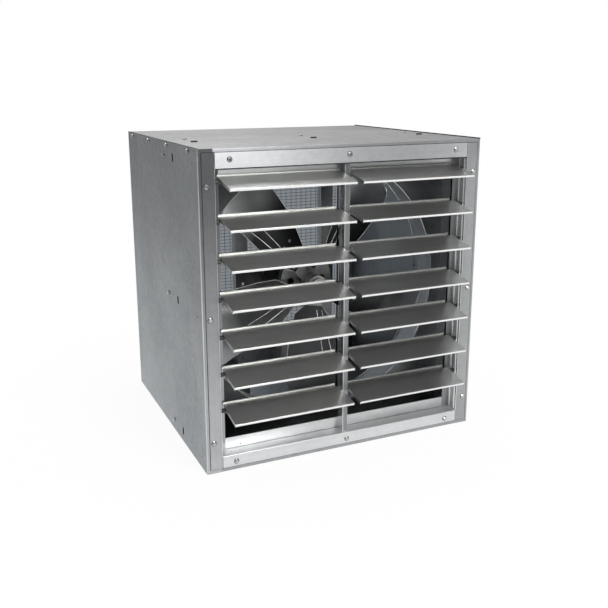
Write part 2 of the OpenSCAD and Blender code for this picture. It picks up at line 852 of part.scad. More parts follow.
module strut_cross_rail() {
    half = strut_x + strut_w / 2;
    color(flange_grey)
    difference() {
        slab(-half, half, plate_depth, plate_depth + plate_t, box_z - 0.36 * box_h, box_z + 0.36 * box_h);
        strut_holes(screw_r + screw_gap);
    }
}

module junction_box() {
    half = box_w / 2;
    color([0.60, 0.61, 0.62])
    difference() {
        slab(box_x - half, box_x + half, plate_depth - box_d, plate_depth,
            box_z - box_h / 2, box_z + box_h / 2);
        slab(box_x - half + strut_t, box_x + half - strut_t, plate_depth - box_d - cut, plate_depth - strut_t,
            box_z - box_h / 2 + strut_t, box_z + box_h / 2 - strut_t);
    }
}

module junction_cover() {
    half = box_w / 2 + 2;
    high = box_h / 2 + 2;
    color([0.66, 0.67, 0.68])
    slab(box_x - half, box_x + half, plate_depth - box_d - sheet, plate_depth - box_d,
        box_z - high, box_z + high);
}

// Hex washer-head screw along +Z, the underside of its washer at the origin.
module hex_screw(shank) {
    translate([0, 0, -shank]) cylinder(r = screw_r, h = shank + cut);
    cylinder(r = washer_r, h = frame_t);
    cylinder(r = hex_af / sqrt(3), h = hex_h, $fn = hex_sides);
}

// Screws that hold the top pan, the sides and the orifice pan together.
module cabinet_screws() {
    color([0.75, 0.76, 0.77]) {
        for (s = [-1, 1]) {
            for (d = edge_screw_depths) translate([s * cab_w / 2, front_y + d, edge_screw_z])
                rotate([0, s * 90, 0]) hex_screw(shank_l);
            for (k = [-1, 0, 1])
                translate([s * cab_w / 2, front_y + pan_screw_depth, mid_z + k * line_rise])
                    rotate([0, s * 90, 0]) hex_screw(shank_l);
        }
        for (k = [-1, 0, 1]) translate([k * top_line_x, front_y + pan_screw_depth, cab_h])
            hex_screw(shank_l);
    }
}

// Screws that hold the shutter frame on the cabinet front.
module shutter_screws() {
    color([0.80, 0.81, 0.82]) {
        for (s = [-1, 1], k = [-1, 0, 1])
            translate([s * jamb_screw_x, front_y - frame_t, mid_z + k * jamb_screw_rise])
                rotate([90, 0, 0]) hex_screw(shank_l);
        for (k = [-1, 0, 1], z = [sill_z, head_z])
            translate([k * rail_screw_x, front_y - frame_t, z]) rotate([90, 0, 0]) hex_screw(shank_l);
    }
}

// Rear guard: a flat net of wires between the bands of its frame.
module guard_mesh() {
    x_half = side_in - guard_band + guard_inset;
    z0 = guard_band - guard_t;
    z1 = cab_h - z0;
    nx = floor(x_half / wire_pitch - 0.2);
    nz = floor((z1 - z0) / wire_pitch / 2 - 0.2);
    zc = (z0 + z1) / 2;
    color([0.70, 0.71, 0.72])
    difference() {
        slab(-x_half, x_half, guard_depth - 2 * wire_r, guard_depth, z0, z1);
        for (i = [-nx - 1:nx], j = [-nz - 1:nz]) {
            x_low = max(i * wire_pitch + wire_r, -x_half + 2 * wire_r);
            x_high = min((i + 1) * wire_pitch - wire_r, x_half - 2 * wire_r);
            z_low = max(zc + j * wire_pitch + wire_r, z0 + 2 * wire_r);
            z_high = min(zc + (j + 1) * wire_pitch - wire_r, z1 - 2 * wire_r);
            slab(x_low, x_high, guard_depth - 2 * wire_r - cut, guard_depth + cut, z_low, z_high);
        }
    }
}

// Band frame that clamps the net on the rear flanges.
module guard_frame() {
    back = cab_d - sheet;
    low = 2 * sheet;
    color(flange_grey)
    difference() {
        slab(-pan_in + cut, pan_in - cut, guard_depth, back, low, cab_h - low);
        slab(-pan_in + guard_band, pan_in - guard_band, guard_depth - cut, back + cut,
            low + guard_band, cab_h - low - guard_band);
        guard_holes();
    }
}

module guard_screws() {
    x = guard_side();
    color([0.75, 0.76, 0.77]) {
        for (s = [-1, 1], k = [-1, 0, 1])
            translate([s * x, front_y + cab_d, mid_z + k * jamb_screw_rise])
                rotate([-90, 0, 0]) hex_screw(shank_l);
        for (k = [-1, 0, 1], z = [guard_low(), guard_high()])
            translate([k * rail_screw_x, front_y + cab_d, z]) rotate([-90, 0, 0]) hex_screw(shank_l);
    }
}

// Bolts of the motor plate: four into the rear bell, the others into the struts.
module motor_bolts() {
    back = plate_depth + plate_t;
    color([0.75, 0.76, 0.77]) {
        for (a = bell_bolt_angles)
            translate([bell_bolt_r * cos(a), front_y + back, axis_z + bell_bolt_r * sin(a)])
                rotate([-90, 0, 0]) hex_screw(shank_l);
        for (s = [-1, 1], z = [axis_z - plate_bolt_rise, axis_z + plate_bolt_rise, box_z])
            translate([s * strut_x, front_y + plate_depth, z]) rotate([90, 0, 0]) hex_screw(shank_l);
    }
}

module left_blade_1() { shutter_leaf(-1, 1); }

module left_blade_2() { shutter_leaf(-1, 2); }

module left_blade_3() { shutter_leaf(-1, 3); }

module left_blade_4() { shutter_leaf(-1, 4); }

module left_blade_5() { shutter_leaf(-1, 5); }

module left_blade_6() { shutter_leaf(-1, 6); }

module left_blade_7() { shutter_leaf(-1, 7); }

module right_blade_1() { shutter_leaf(1, 1); }

module right_blade_2() { shutter_leaf(1, 2); }

module right_blade_3() { shutter_leaf(1, 3); }

module right_blade_4() { shutter_leaf(1, 4); }

module right_blade_5() { shutter_leaf(1, 5); }

module right_blade_6() { shutter_leaf(1, 6); }

module right_blade_7() { shutter_leaf(1, 7); }

left_side_panel();
right_side_panel();
top_panel();
bottom_panel();
orifice_panel();
orifice_ring();
left_jamb();
right_jamb();
head_rail();
sill_rail();
mullion();
pivot_bushings();
guard_mesh();
guard_frame();
left_motor_strut();
right_motor_strut();
motor_plate();
strut_cross_rail();
motor_shell();
motor_front_bell();
motor_rear_bell();
motor_stator();
motor_bearings();
junction_box();
junction_cover();
cabinet_screws();
shutter_screws();
guard_screws();
motor_bolts();
motor_shaft();
motor_rotor();
propeller_hub();
propeller_blade_1();
propeller_blade_2();
propeller_blade_3();
propeller_blade_4();
propeller_blade_5();
propeller_rivets();
hub_set_screw();
left_blade_1();
left_blade_2();
left_blade_3();
left_blade_4();
left_blade_5();
left_blade_6();
left_blade_7();
right_blade_1();
right_blade_2();
right_blade_3();
right_blade_4();
right_blade_5();
right_blade_6();
right_blade_7();
left_tie_bar();
left_tie_eyelets();
right_tie_bar();
right_tie_eyelets();
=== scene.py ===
"""Looks of a cabinet exhaust fan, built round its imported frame.

The frame gives every solid in metres. This script forms the sheet edges, nets and fasteners
that the solids keep plain, gives each surface its own procedural finish, and lights the fan
in a plain pale studio from the photograph's viewing angle.
"""

import logging
import math
from collections.abc import Callable
from dataclasses import dataclass, field, replace
from enum import Enum

import bmesh
import bpy
from bmesh.types import BMFace, BMVert
from bpy.types import Material, Node, NodeSocket, NodeTree
from mathutils import Matrix, Vector
from mathutils.bvhtree import BVHTree


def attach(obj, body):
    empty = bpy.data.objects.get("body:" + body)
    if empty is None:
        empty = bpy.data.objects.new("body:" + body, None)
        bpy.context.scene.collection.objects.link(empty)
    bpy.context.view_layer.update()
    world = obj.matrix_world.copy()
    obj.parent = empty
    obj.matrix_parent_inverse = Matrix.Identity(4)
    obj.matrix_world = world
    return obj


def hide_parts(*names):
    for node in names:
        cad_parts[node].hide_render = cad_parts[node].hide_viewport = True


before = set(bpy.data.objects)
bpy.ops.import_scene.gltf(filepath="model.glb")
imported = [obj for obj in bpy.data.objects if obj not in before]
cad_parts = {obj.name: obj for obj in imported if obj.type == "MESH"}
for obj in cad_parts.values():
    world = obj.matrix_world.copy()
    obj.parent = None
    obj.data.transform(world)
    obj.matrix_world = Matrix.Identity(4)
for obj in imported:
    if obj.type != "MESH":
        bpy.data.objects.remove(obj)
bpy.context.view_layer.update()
LOG = logging.getLogger("cabinet_fan")
MM = 0.001

# The front plane of the cabinet, the height of the fan's axis, the outsides of the side walls
# and of the top, and the thickness of their sheet, in metres.
FRONT = -0.379
AXIS_Z = 0.433
WALL_X = 0.419
TOP_Z = 0.866
SHEET = 0.0015

# The least part of a face's normal along the axis that the face looks along, and the least part
# of a rounded bend's normal along each of its two axes.
SQUARE_ON = 0.9
SLANTING = 0.25
# The area of a face that is a web or flange, not a cut edge, in square metres.
LARGE_FACE = 0.002
# The least length of a bend that is rounded, in metres.
LEAST_BEND = 0.3

RIGHTWARD, REARWARD, UPWARD = (Vector(axis) for axis in Matrix.Identity(3))

# A point, a colour or three lengths, and a method that fills a node group.
Triple = tuple[float, float, float]
Fill = Callable[["Graph", NodeSocket, NodeSocket], tuple[NodeSocket, NodeSocket]]


class Grain(Enum):
    """The direction in which a sheet was rolled or brushed, as the stretch of its streaks."""

    ALONG_X = (1.5, 260.0, 260.0)
    ALONG_Z = (260.0, 260.0, 1.5)
    NONE = (60.0, 60.0, 60.0)


class Axis(Enum):
    """The axis along which a finish changes its tone."""

    X = "X"
    Z = "Z"


class Side(Enum):
    """A side of the fan, seen from the front."""

    LEFT = "left"
    RIGHT = "right"


class Graph:
    """Adds and links shader nodes in one node tree."""

    def __init__(self, tree: NodeTree) -> None:
        """Keeps the tree that the nodes go into."""
        self.tree = tree

    def add(self, kind: str, *inputs: object, **settings: object) -> Node:
        """Adds a node, sets its attributes and fills its inputs.

        Args:
            kind: The node's type name without the ShaderNode prefix.
            *inputs: Values or output sockets for its first inputs.
            **settings: Attributes first, then inputs by name with underscores for spaces.

        Returns:
            The new node.
        """
        node = self.tree.nodes.new("ShaderNode" + kind)
        for key, value in settings.items():
            if hasattr(node, key):
                setattr(node, key, value)
            else:
                self.fill(node.inputs[key.replace("_", " ")], value)
        for target, value in zip(node.inputs, inputs):
            self.fill(target, value)
        return node

    def value(self, kind: str, *inputs: object, **settings: object) -> NodeSocket:
        """Adds a node as add() does and gives its first output in use."""
        return next(out for out in self.add(kind, *inputs, **settings).outputs if out.enabled)

    def fill(self, target: NodeSocket, value: object) -> None:
        """Links an output socket to an input, or sets the input's value.

        Args:
            target: The input.
            value: The output socket, or the value.
        """
        if isinstance(value, NodeSocket):
            self.tree.links.new(value, target)
        else:
            target.default_value = value

    def ramp(self, source: NodeSocket, *stops: tuple[float, float]) -> NodeSocket:
        """Sends a value through a grey colour ramp.

        Args:
            source: The value to remap.
            *stops: Positions with their grey levels.

        Returns:
            The ramp's colour output.
        """
        node = self.add("ValToRGB", source)
        points = node.color_ramp.elements
        while len(points) < len(stops):
            points.new(0.5)
        for point, (place, level) in zip(points, stops):
            point.position = place
            point.color = (level, level, level, 1.0)
        return node.outputs[0]

    def remap(self, source: NodeSocket, start: float, end: float,
              span: tuple[float, float] = (0.0, 1.0)) -> NodeSocket:
        """Maps a value from a span to another one.

        Args:
            source: The value to remap.
            start: The result at the span's start.
            end: The result at the span's end.
            span: The value's own span.

        Returns:
            The mapped value's socket.
        """
        return self.value("MapRange", Value=source, From_Min=span[0], From_Max=span[1],
                          To_Min=start, To_Max=end)

    def multiply(self, colour: NodeSocket, level: NodeSocket) -> NodeSocket:
        """Multiplies a colour by a level."""
        return self.value("Mix", data_type="RGBA", blend_type="MULTIPLY", Factor=1.0, A=colour, B=level)


class SurfaceGroups:
    """Shader node groups for effects that several finishes share."""

    def __init__(self) -> None:
        """Builds the groups once."""
        self.grain = self._build("drawn_grain", self._grain)
        self.spangle = self._build("zinc_spangle", self._spangle)
        self.film = self._build("handling_film", self._film)

    @staticmethod
    def _build(name: str, fill: Fill) -> NodeTree:
        """Makes a group with Vector and Scale in, Tone and Height out.

        Args:
            name: The group's name.
            fill: The method that adds its nodes and gives its tone and height.

        Returns:
            The finished node group.
        """
        tree = bpy.data.node_groups.new(name, "ShaderNodeTree")
        for label, way, kind in (("Vector", "INPUT", "Vector"), ("Scale", "INPUT", "Float"),
                                 ("Tone", "OUTPUT", "Float"), ("Height", "OUTPUT", "Float")):
            tree.interface.new_socket(name=label, in_out=way, socket_type="NodeSocket" + kind)
        enter = tree.nodes.new("NodeGroupInput")
        leave = tree.nodes.new("NodeGroupOutput")
        graph = Graph(tree)
        for target, value in zip(leave.inputs, fill(graph, enter.outputs["Vector"], enter.outputs["Scale"])):
            graph.fill(target, value)
        return tree

    @staticmethod
    def _grain(graph: Graph, place: NodeSocket, scale: NodeSocket) -> tuple[NodeSocket, NodeSocket]:
        """Fine streaks of rolling and brushing, with a slower banding under them.

        Args:
            graph: The group's graph.
            place: The coordinates.
            scale: The scale of the fine streaks.

        Returns:
            The tone and the height.
        """
        slower = graph.value("Math", scale, 0.13, operation="MULTIPLY")
        fine = graph.value("TexNoise", Vector=place, Scale=scale, Detail=3.0, Roughness=0.6)
        slow = graph.value("TexNoise", Vector=place, Scale=slower, Detail=2.0, Roughness=0.5)
        return graph.value("Mix", data_type="FLOAT", Factor=0.45, A=fine, B=slow), fine

    @staticmethod
    def _spangle(graph: Graph, place: NodeSocket, scale: NodeSocket) -> tuple[NodeSocket, NodeSocket]:
        """Crystal patches of hot-dip zinc, warped so that no cell is regular.

        Args:
            graph: The group's graph.
            place: The coordinates.
            scale: The number of patches in a metre.

        Returns:
            The tone and the height.
        """
        warp = graph.add("TexNoise", Vector=place, Scale=38.0, Detail=2.0).outputs["Color"]
        shifted = graph.value("VectorMath", warp, (0.012, 0.012, 0.012), place, operation="MULTIPLY_ADD")
        cells = graph.add("TexVoronoi", feature="F1", Vector=shifted, Scale=scale)
        split = graph.add("SeparateColor", cells.outputs["Color"])
        return split.outputs[0], split.outputs[1]

    @staticmethod
    def _film(graph: Graph, place: NodeSocket, scale: NodeSocket) -> tuple[NodeSocket, NodeSocket]:
        """Cloudy film of dust and handling.

        Args:
            graph: The group's graph.
            place: The coordinates.
            scale: The scale of the clouds.

        Returns:
            The tone and the height.
        """
        cloud = graph.value("TexNoise", Vector=place, Scale=scale, Detail=6.0, Roughness=0.62,
                            Distortion=0.4)
        return graph.ramp(cloud, (0.36, 0.0), (0.66, 1.0)), cloud


@dataclass(frozen=True)
class Finish:
    """A metal, plastic or paint finish with its own grain, patches and film.

    Its roughness goes from rough_high where it is dark to rough_low where it is light. Each share
    says how much of the tone comes from the grain, the zinc patches and the film. A slot is one of
    the record's paint slots, or empty.
    """

    name: str
    slot: str
    dark: Triple
    light: Triple
    metallic: float
    rough_low: float
    rough_high: float
    grain: Grain = Grain.NONE
    grain_share: float = 0.5
    spangle_size: float = 0.012
    spangle_share: float = 0.0
    film_share: float = 0.25
    film_scale: float = 3.0
    bump: float = 0.05
    coat: float = 0.0
    brushed: float = 0.0
    # hub_shade is the share of colour left at the hub: painted shade towards the propeller's axis.
    hub_shade: float = 1.0
    hub_span: tuple[float, float] = (0.25, 0.33)
    specular: float = 0.5
    # foot and head multiply the colour at the two ends of fall_span along fall_axis: a painted gradient of
    # light and shade.
    foot: float = 1.0
    head: float = 1.0
    fall_axis: Axis = Axis.Z
    fall_span: tuple[float, float] = (0.03, 0.62)

    def build(self, groups: SurfaceGroups) -> Material:
        """Builds the node material.

        Args:
            groups: The shared shader node groups.

        Returns:
            The material.
        """
        material = bpy.data.materials.new(self.name)
        material.use_nodes = True
        graph = Graph(material.node_tree)
        shader = material.node_tree.nodes["Principled BSDF"].inputs
        shader["Metallic"].default_value = self.metallic
        shader["Coat Weight"].default_value = self.coat
        shader["Specular IOR Level"].default_value = self.specular
        if self.brushed:
            shader["Anisotropic"].default_value = self.brushed
            graph.fill(shader["Tangent"], graph.value("Tangent", direction_type="UV_MAP", uv_map="grain"))
        place = graph.add("TexCoord").outputs["Object"]
        stretched = graph.value("Mapping", Vector=place, Scale=self.grain.value)
        tone, heights = 0.0, []
        for tree, at, scale, share in ((groups.grain, stretched, 1.0, self.grain_share),
                                       (groups.spangle, place, 1.0 / self.spangle_size, self.spangle_share),
                                       (groups.film, place, self.film_scale, self.film_share)):
            effect = graph.add("Group", node_tree=tree, Vector=at, Scale=scale)
            tone = graph.value("Math", effect.outputs["Tone"], share, tone, operation="MULTIPLY_ADD")
            heights.append(effect.outputs["Height"])
        rest = 0.5 * (1.0 - self.grain_share - self.spangle_share - self.film_share)
        level = graph.value("Math", tone, rest, operation="ADD", use_clamp=True)
        tint = graph.value("Mix", data_type="RGBA", Factor=level, A=(*self.dark, 1.0), B=(*self.light, 1.0))
        if self.hub_shade < 1.0:
            tint = graph.multiply(tint, self._hub_painted_shade(graph, place))
        # Painted light and shade: the colour is multiplied along an axis from foot to head.
        if self.foot != self.head:
            parts = graph.add("SeparateXYZ", place)
            painted_fall = graph.remap(parts.outputs[self.fall_axis.value], self.foot, self.head, self.fall_span)
            tint = graph.multiply(tint, painted_fall)
        graph.fill(shader["Base Color"], tint)
        graph.fill(shader["Roughness"], graph.remap(level, self.rough_high, self.rough_low))
        graph.fill(shader["Normal"],
                   graph.value("Bump", Strength=self.bump, Distance=0.0004, Height=heights[0]))
        return material

    def toned(self, name: str, dark: Triple, light: Triple, **changes: object) -> "Finish":
        """Gives a finish of the same kind with another name and colour."""
        return replace(self, name=name, dark=dark, light=light, **changes)

    def dimmed(self, share: float) -> "Finish":
        """Gives a finish of the same kind with a share of its colour."""
        dark, light = (tuple(share * part for part in colour) for colour in (self.dark, self.light))
        return self.toned(self.name + "_dim", dark, light)

    def _hub_painted_shade(self, graph: Graph, place: NodeSocket) -> NodeSocket:
        """Falls off towards the propeller's axis as painted shade on the blades near the hub.

        Args:
            graph: The material's graph.
            place: The object coordinates.

        Returns:
            The level that the colour is multiplied by.
        """
        away = graph.value("VectorMath", place, (0.0, 0.0, AXIS_Z), operation="SUBTRACT")
        flat = graph.value("VectorMath", away, (1.0, 0.0, 1.0), operation="MULTIPLY")
        reach = graph.value("VectorMath", flat, operation="LENGTH")
        return graph.remap(reach, self.hub_shade, 1.0, self.hub_span)


Patch = tuple[Finish, Callable[[BMFace], bool]]


@dataclass(frozen=True)
class FinishSet:
    """Every finish of the fan."""

    # The side panels are a darker copy of the galvanised sheet as painted shade, lightening towards the floor
    # as painted floor light.
    side_sheet: Finish = Finish(
        "side_sheet", "galvanized_sheet", (0.155, 0.17, 0.18), (0.265, 0.282, 0.292), 0.75, 0.34, 0.50,
        Grain.ALONG_Z, 0.3, 0.014, 0.22, 0.38, foot=1.45, head=0.96)
    # The top panel is a lighter copy of the same sheet as painted light from above.
    top_sheet: Finish = Finish(
        "top_sheet", "galvanized_sheet", (0.19, 0.19, 0.20), (0.45, 0.45, 0.45), 0.75, 0.32, 0.54,
        Grain.ALONG_X, 0.45, 0.014, 0.15, 0.3, brushed=0.4)
    inner_sheet: Finish = Finish(
        "inner_sheet", "galvanized_sheet", (0.22, 0.23, 0.24), (0.40, 0.41, 0.42), 0.85, 0.3, 0.45,
        Grain.ALONG_X, 0.35, 0.014, 0.3, 0.25)
    ring: Finish = inner_sheet.toned("ring_sheet", (0.30, 0.31, 0.325), (0.52, 0.53, 0.545))
    # The orifice pan is a much darker copy of the inner sheet as painted shade, darker on the left and
    # lighter on the right as painted shade and light.
    orifice: Finish = inner_sheet.toned(
        "orifice_sheet_painted_shade", (0.08, 0.084, 0.088), (0.17, 0.176, 0.182), spangle_share=0.2, film_share=0.3,
        foot=0.5, head=2.3, fall_axis=Axis.X, fall_span=(-0.35, 0.35))
    # The side walls' inside faces are a lighter copy of the galvanised sheet as painted light.
    lit_inner_wall: Finish = Finish(
        "lit_inner_wall", "galvanized_sheet", (0.36, 0.375, 0.39), (0.52, 0.535, 0.55), 0.7, 0.34, 0.5,
        Grain.ALONG_Z, 0.35, 0.014, 0.15, 0.3)
    frame_upright: Finish = Finish(
        "frame_upright", "shutter_frame_sheet", (0.23, 0.24, 0.25), (0.46, 0.47, 0.48), 0.85, 0.26, 0.42,
        Grain.ALONG_Z, 0.6, 0.012, 0.1, 0.25, brushed=0.7)
    # The left jamb and flange: the frame's sheet with painted light, lighter towards the floor and darker
    # towards the top.
    left_upright_painted_light: Finish = replace(frame_upright, name="left_upright_painted_light", foot=1.35, head=0.62)
    mullion: Finish = frame_upright.toned("mullion_sheet", (0.16, 0.167, 0.174), (0.36, 0.37, 0.38))
    # The level members are a lighter copy of the frame's sheet as painted light; the head rail's copy is
    # darker as painted shade.
    frame_level: Finish = frame_upright.toned(
        "frame_level", (0.50, 0.51, 0.52), (0.82, 0.83, 0.83), grain=Grain.ALONG_X)
    frame_head_shaded: Finish = frame_level.toned("frame_head_shaded", (0.30, 0.31, 0.32), (0.70, 0.71, 0.72))
    # The head rail's rear lip is a still lighter copy as painted light, where the head rail shades it from
    # the lamps.
    lip: Finish = frame_level.toned("head_lip_painted_light", (0.58, 0.59, 0.59), (0.92, 0.93, 0.93))
    # Polished sheet whose light colour is partly painted light and painted highlights, for side webs, beads
    # and ribs.
    wall: Finish = Finish(
        "polished_wall_painted_light", "shutter_frame_sheet", (0.60, 0.61, 0.61), (0.92, 0.93, 0.93), 0.8, 0.18, 0.28,
        Grain.ALONG_Z, 0.7, 0.012, 0.0, 0.3)
    # Painted highlight on the rounded bends round the opening; the hem and corner highlights copy it.
    painted_bend_highlight: Finish = Finish(
        "painted_bend_highlight", "shutter_frame_sheet", (0.78, 0.78, 0.77), (0.97, 0.97, 0.96), 0.9, 0.22, 0.34,
        Grain.ALONG_Z, 0.6, 0.02, 0.0, 0.3, 2.0, 0.02)
    # Painted highlight on the fronts of the blades' hems.
    hem: Finish = replace(painted_bend_highlight, name="blade_hem", slot="blade_aluminium", grain=Grain.ALONG_X)
    # Painted highlight on the rounded front corners of the side panels.
    corner: Finish = painted_bend_highlight.toned(
        "painted_corner_highlight", (0.46, 0.47, 0.48), (0.78, 0.79, 0.80), slot="galvanized_sheet",
        metallic=0.85, film_share=0.35)
    left_blade: Finish = Finish(
        "left_blade_sheet", "blade_aluminium", (0.42, 0.425, 0.405), (0.84, 0.845, 0.82), 0.95, 0.27, 0.41,
        Grain.ALONG_X, 0.7, 0.02, 0.0, 0.25, 2.5, 0.0, brushed=0.4)
    # The right column's blades are a darker copy of the left's as painted shade.
    right_blade: Finish = left_blade.toned(
        "right_blade_shaded_sheet", (0.33, 0.335, 0.32), (0.66, 0.665, 0.65))
    # Near black finish of painted shadow for gaps, rims, edges, marks and hole walls.
    seam: Finish = Finish(
        "seam_shadow", "", (0.018, 0.019, 0.02), (0.05, 0.052, 0.055), 0.0, 0.6, 0.8,
        film_share=0.6, film_scale=50.0, bump=0.0, specular=0.04)
    nylon: Finish = Finish(
        "black_nylon", "black_nylon", (0.012, 0.012, 0.012), (0.035, 0.035, 0.035), 0.0, 0.4, 0.6,
        film_share=0.5, film_scale=40.0)
    zinc: Finish = Finish(
        "zinc_plate", "zinc_fastener", (0.30, 0.30, 0.30), (0.70, 0.70, 0.69), 0.95, 0.16, 0.3,
        film_share=0.5, film_scale=60.0)
    wire: Finish = Finish(
        "guard_wire", "guard_wire", (0.20, 0.21, 0.22), (0.34, 0.35, 0.36), 0.8, 0.35, 0.5,
        film_share=0.6, film_scale=25.0)
    # The propeller's blades darken towards the hub as painted shade.
    propeller: Finish = Finish(
        "propeller_sheet", "propeller_sheet", (0.30, 0.31, 0.32), (0.48, 0.49, 0.50), 0.92, 0.24, 0.36,
        Grain.NONE, 0.2, 0.016, 0.1, 0.4, hub_shade=0.16)
    casting: Finish = Finish(
        "cast_aluminium", "cast_aluminium", (0.20, 0.205, 0.205), (0.62, 0.62, 0.61), 0.7, 0.42, 0.62,
        film_share=0.4, film_scale=30.0, bump=0.35)
    paint: Finish = Finish(
        "motor_paint", "motor_paint", (0.045, 0.047, 0.05), (0.10, 0.104, 0.108), 0.0, 0.38, 0.55,
        film_share=0.5, film_scale=12.0, coat=0.2)
    steel: Finish = Finish(
        "ground_steel", "ground_steel", (0.5, 0.5, 0.5), (0.72, 0.72, 0.72), 1.0, 0.2, 0.34,
        film_share=0.5, film_scale=30.0)
    winding: Finish = Finish(
        "stator_iron", "stator_iron", (0.20, 0.12, 0.07), (0.38, 0.24, 0.14), 0.4, 0.4, 0.6,
        film_share=0.6, film_scale=50.0)
    box: Finish = Finish(
        "junction_steel", "junction_steel", (0.60, 0.61, 0.62), (0.82, 0.83, 0.84), 0.8, 0.3, 0.45,
        Grain.ALONG_X, 0.3, 0.012, 0.25, 0.25)


class Form:
    """A mesh that is being shaped."""

    def __init__(self, node: str = "") -> None:
        """Starts empty, or from a CAD node, merged and with its flat faces whole.

        Args:
            node: The node's name, or nothing.
        """
        self.mesh = bmesh.new()
        if node:
            self.mesh.from_mesh(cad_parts[node].data)
            bmesh.ops.remove_doubles(self.mesh, verts=self.mesh.verts[:], dist=1e-6)
            bmesh.ops.dissolve_limit(self.mesh, angle_limit=math.radians(0.6), verts=self.mesh.verts[:],
                                     edges=self.mesh.edges[:], use_dissolve_boundaries=False)

    def to_object(self, name: str) -> bpy.types.Object:
        """Makes an object of the scene and frees the form.

        Args:
            name: The name of the object and its mesh.

        Returns:
            The new object.
        """
        mesh = bpy.data.meshes.new(name)
        self.mesh.to_mesh(mesh)
        self.mesh.free()
        made = bpy.data.objects.new(name, mesh)
        bpy.context.scene.collection.objects.link(made)
        return made

    def round_bends(self, radius: float, least_face: float) -> None:
        """Rounds the outer bends of a folded sheet.

        Args:
            radius: The bevel's width in metres.
            least_face: Area that both faces of a bend have at least, in square metres.
        """
        bends = [edge for edge in self.mesh.edges if len(edge.link_faces) == 2 and edge.is_convex
                 and edge.calc_face_angle(0.0) > 1.0 and edge.calc_length() > LEAST_BEND
                 and min(face.calc_area() for face in edge.link_faces) > least_face]
        if bends:
            bmesh.ops.bevel(self.mesh, geom=bends, offset=radius, offset_type="OFFSET", affect="EDGES",
                            segments=3, profile=0.5, material=-1, clamp_overlap=True)

    def lay_grain(self, grain: Grain) -> None:
        """Adds a UV map whose first axis runs across the brushing.

        Args:
            grain: The direction of the brushing, where the streaks are stretched least.
        """
        axes = sorted((RIGHTWARD, REARWARD, UPWARD), key=Vector(grain.value).dot)
        layer = self.mesh.loops.layers.uv.new("grain")
        for face in self.mesh.faces:
            along = axes[0] if abs(face.normal.dot(axes[0])) < SQUARE_ON else axes[1]
            across = face.normal.cross(along).normalized()
            for loop in face.loops:
                loop[layer].uv = (loop.vert.co.dot(across), loop.vert.co.dot(along))

    def block(self, low: Triple, high: Triple) -> None:
        """Adds a box between two corners.

        Args:
            low: The least corner.
            high: The greatest corner.
        """
        low, high = Vector(low), Vector(high)
        bmesh.ops.create_cube(self.mesh, size=1.0, matrix=Matrix.Translation((low + high) / 2.0)
                              @ Matrix.Diagonal((*(high - low), 1.0)))

    def rod(self, start: Vector | Triple, end: Vector | Triple, radius: float, sides: int,
            last: float | None = None) -> None:
        """Adds a closed rod or cone between two points.

        Args:
            start: One end.
            end: The other end.
            radius: The radius at the start.
            sides: The number of sides.
            last: The radius at the end, where it differs.
        """
        start, end = Vector(start), Vector(end)
        line = end - start
        turn = line.to_track_quat("Z", "Y").to_matrix().to_4x4()
        bmesh.ops.create_cone(self.mesh, cap_ends=True, segments=sides, radius1=radius,
                              radius2=radius if last is None else last, depth=line.length,
                              matrix=Matrix.Translation((start + end) / 2.0) @ turn)

    def sheet(self, centre: Triple, tilt: float, sides: tuple[float, float]) -> None:
        """Adds a flat rectangle.

        Args:
            centre: Its centre.
            tilt: Its turn about X in degrees.
            sides: Its length along its own X and Y.
        """
        bmesh.ops.create_grid(self.mesh, x_segments=1, y_segments=1, size=0.5,
                              matrix=Matrix.Translation(centre) @ Matrix.Rotation(math.radians(tilt), 4, "X")
                              @ Matrix.Diagonal((*sides, 1.0, 1.0)))

    def wrap(self, loops: list[list[Vector]]) -> None:
        """Joins closed loops of points into one closed skin, the last loop to the first.

        Args:
            loops: The loops, each with the same number of points.
        """
        rows = [[self.mesh.verts.new(point) for point in loop] for loop in loops]
        for start, end in zip(rows, rows[1:] + rows[:1]):
            for k, vert in enumerate(start):
                after = (k + 1) % len(start)
                self.mesh.faces.new((vert, start[after], end[after], end[k]))

    def face_out(self) -> None:
        """Turns every normal outward."""
        bmesh.ops.recalc_face_normals(self.mesh, faces=self.mesh.faces[:])

    def islands(self) -> list[list[BMVert]]:
        """Splits the mesh into its unconnected parts, in the same order each run.

        Returns:
            The vertices of each part.
        """
        parts, seen = [], set()
        for first in self.mesh.verts:
            if first in seen:
                continue
            seen.add(first)
            part = [first]
            for vert in part:
                others = [edge.other_vert(vert) for edge in vert.link_edges]
                part += [other for other in others if other not in seen]
                seen.update(others)
            parts.append(part)
        return parts


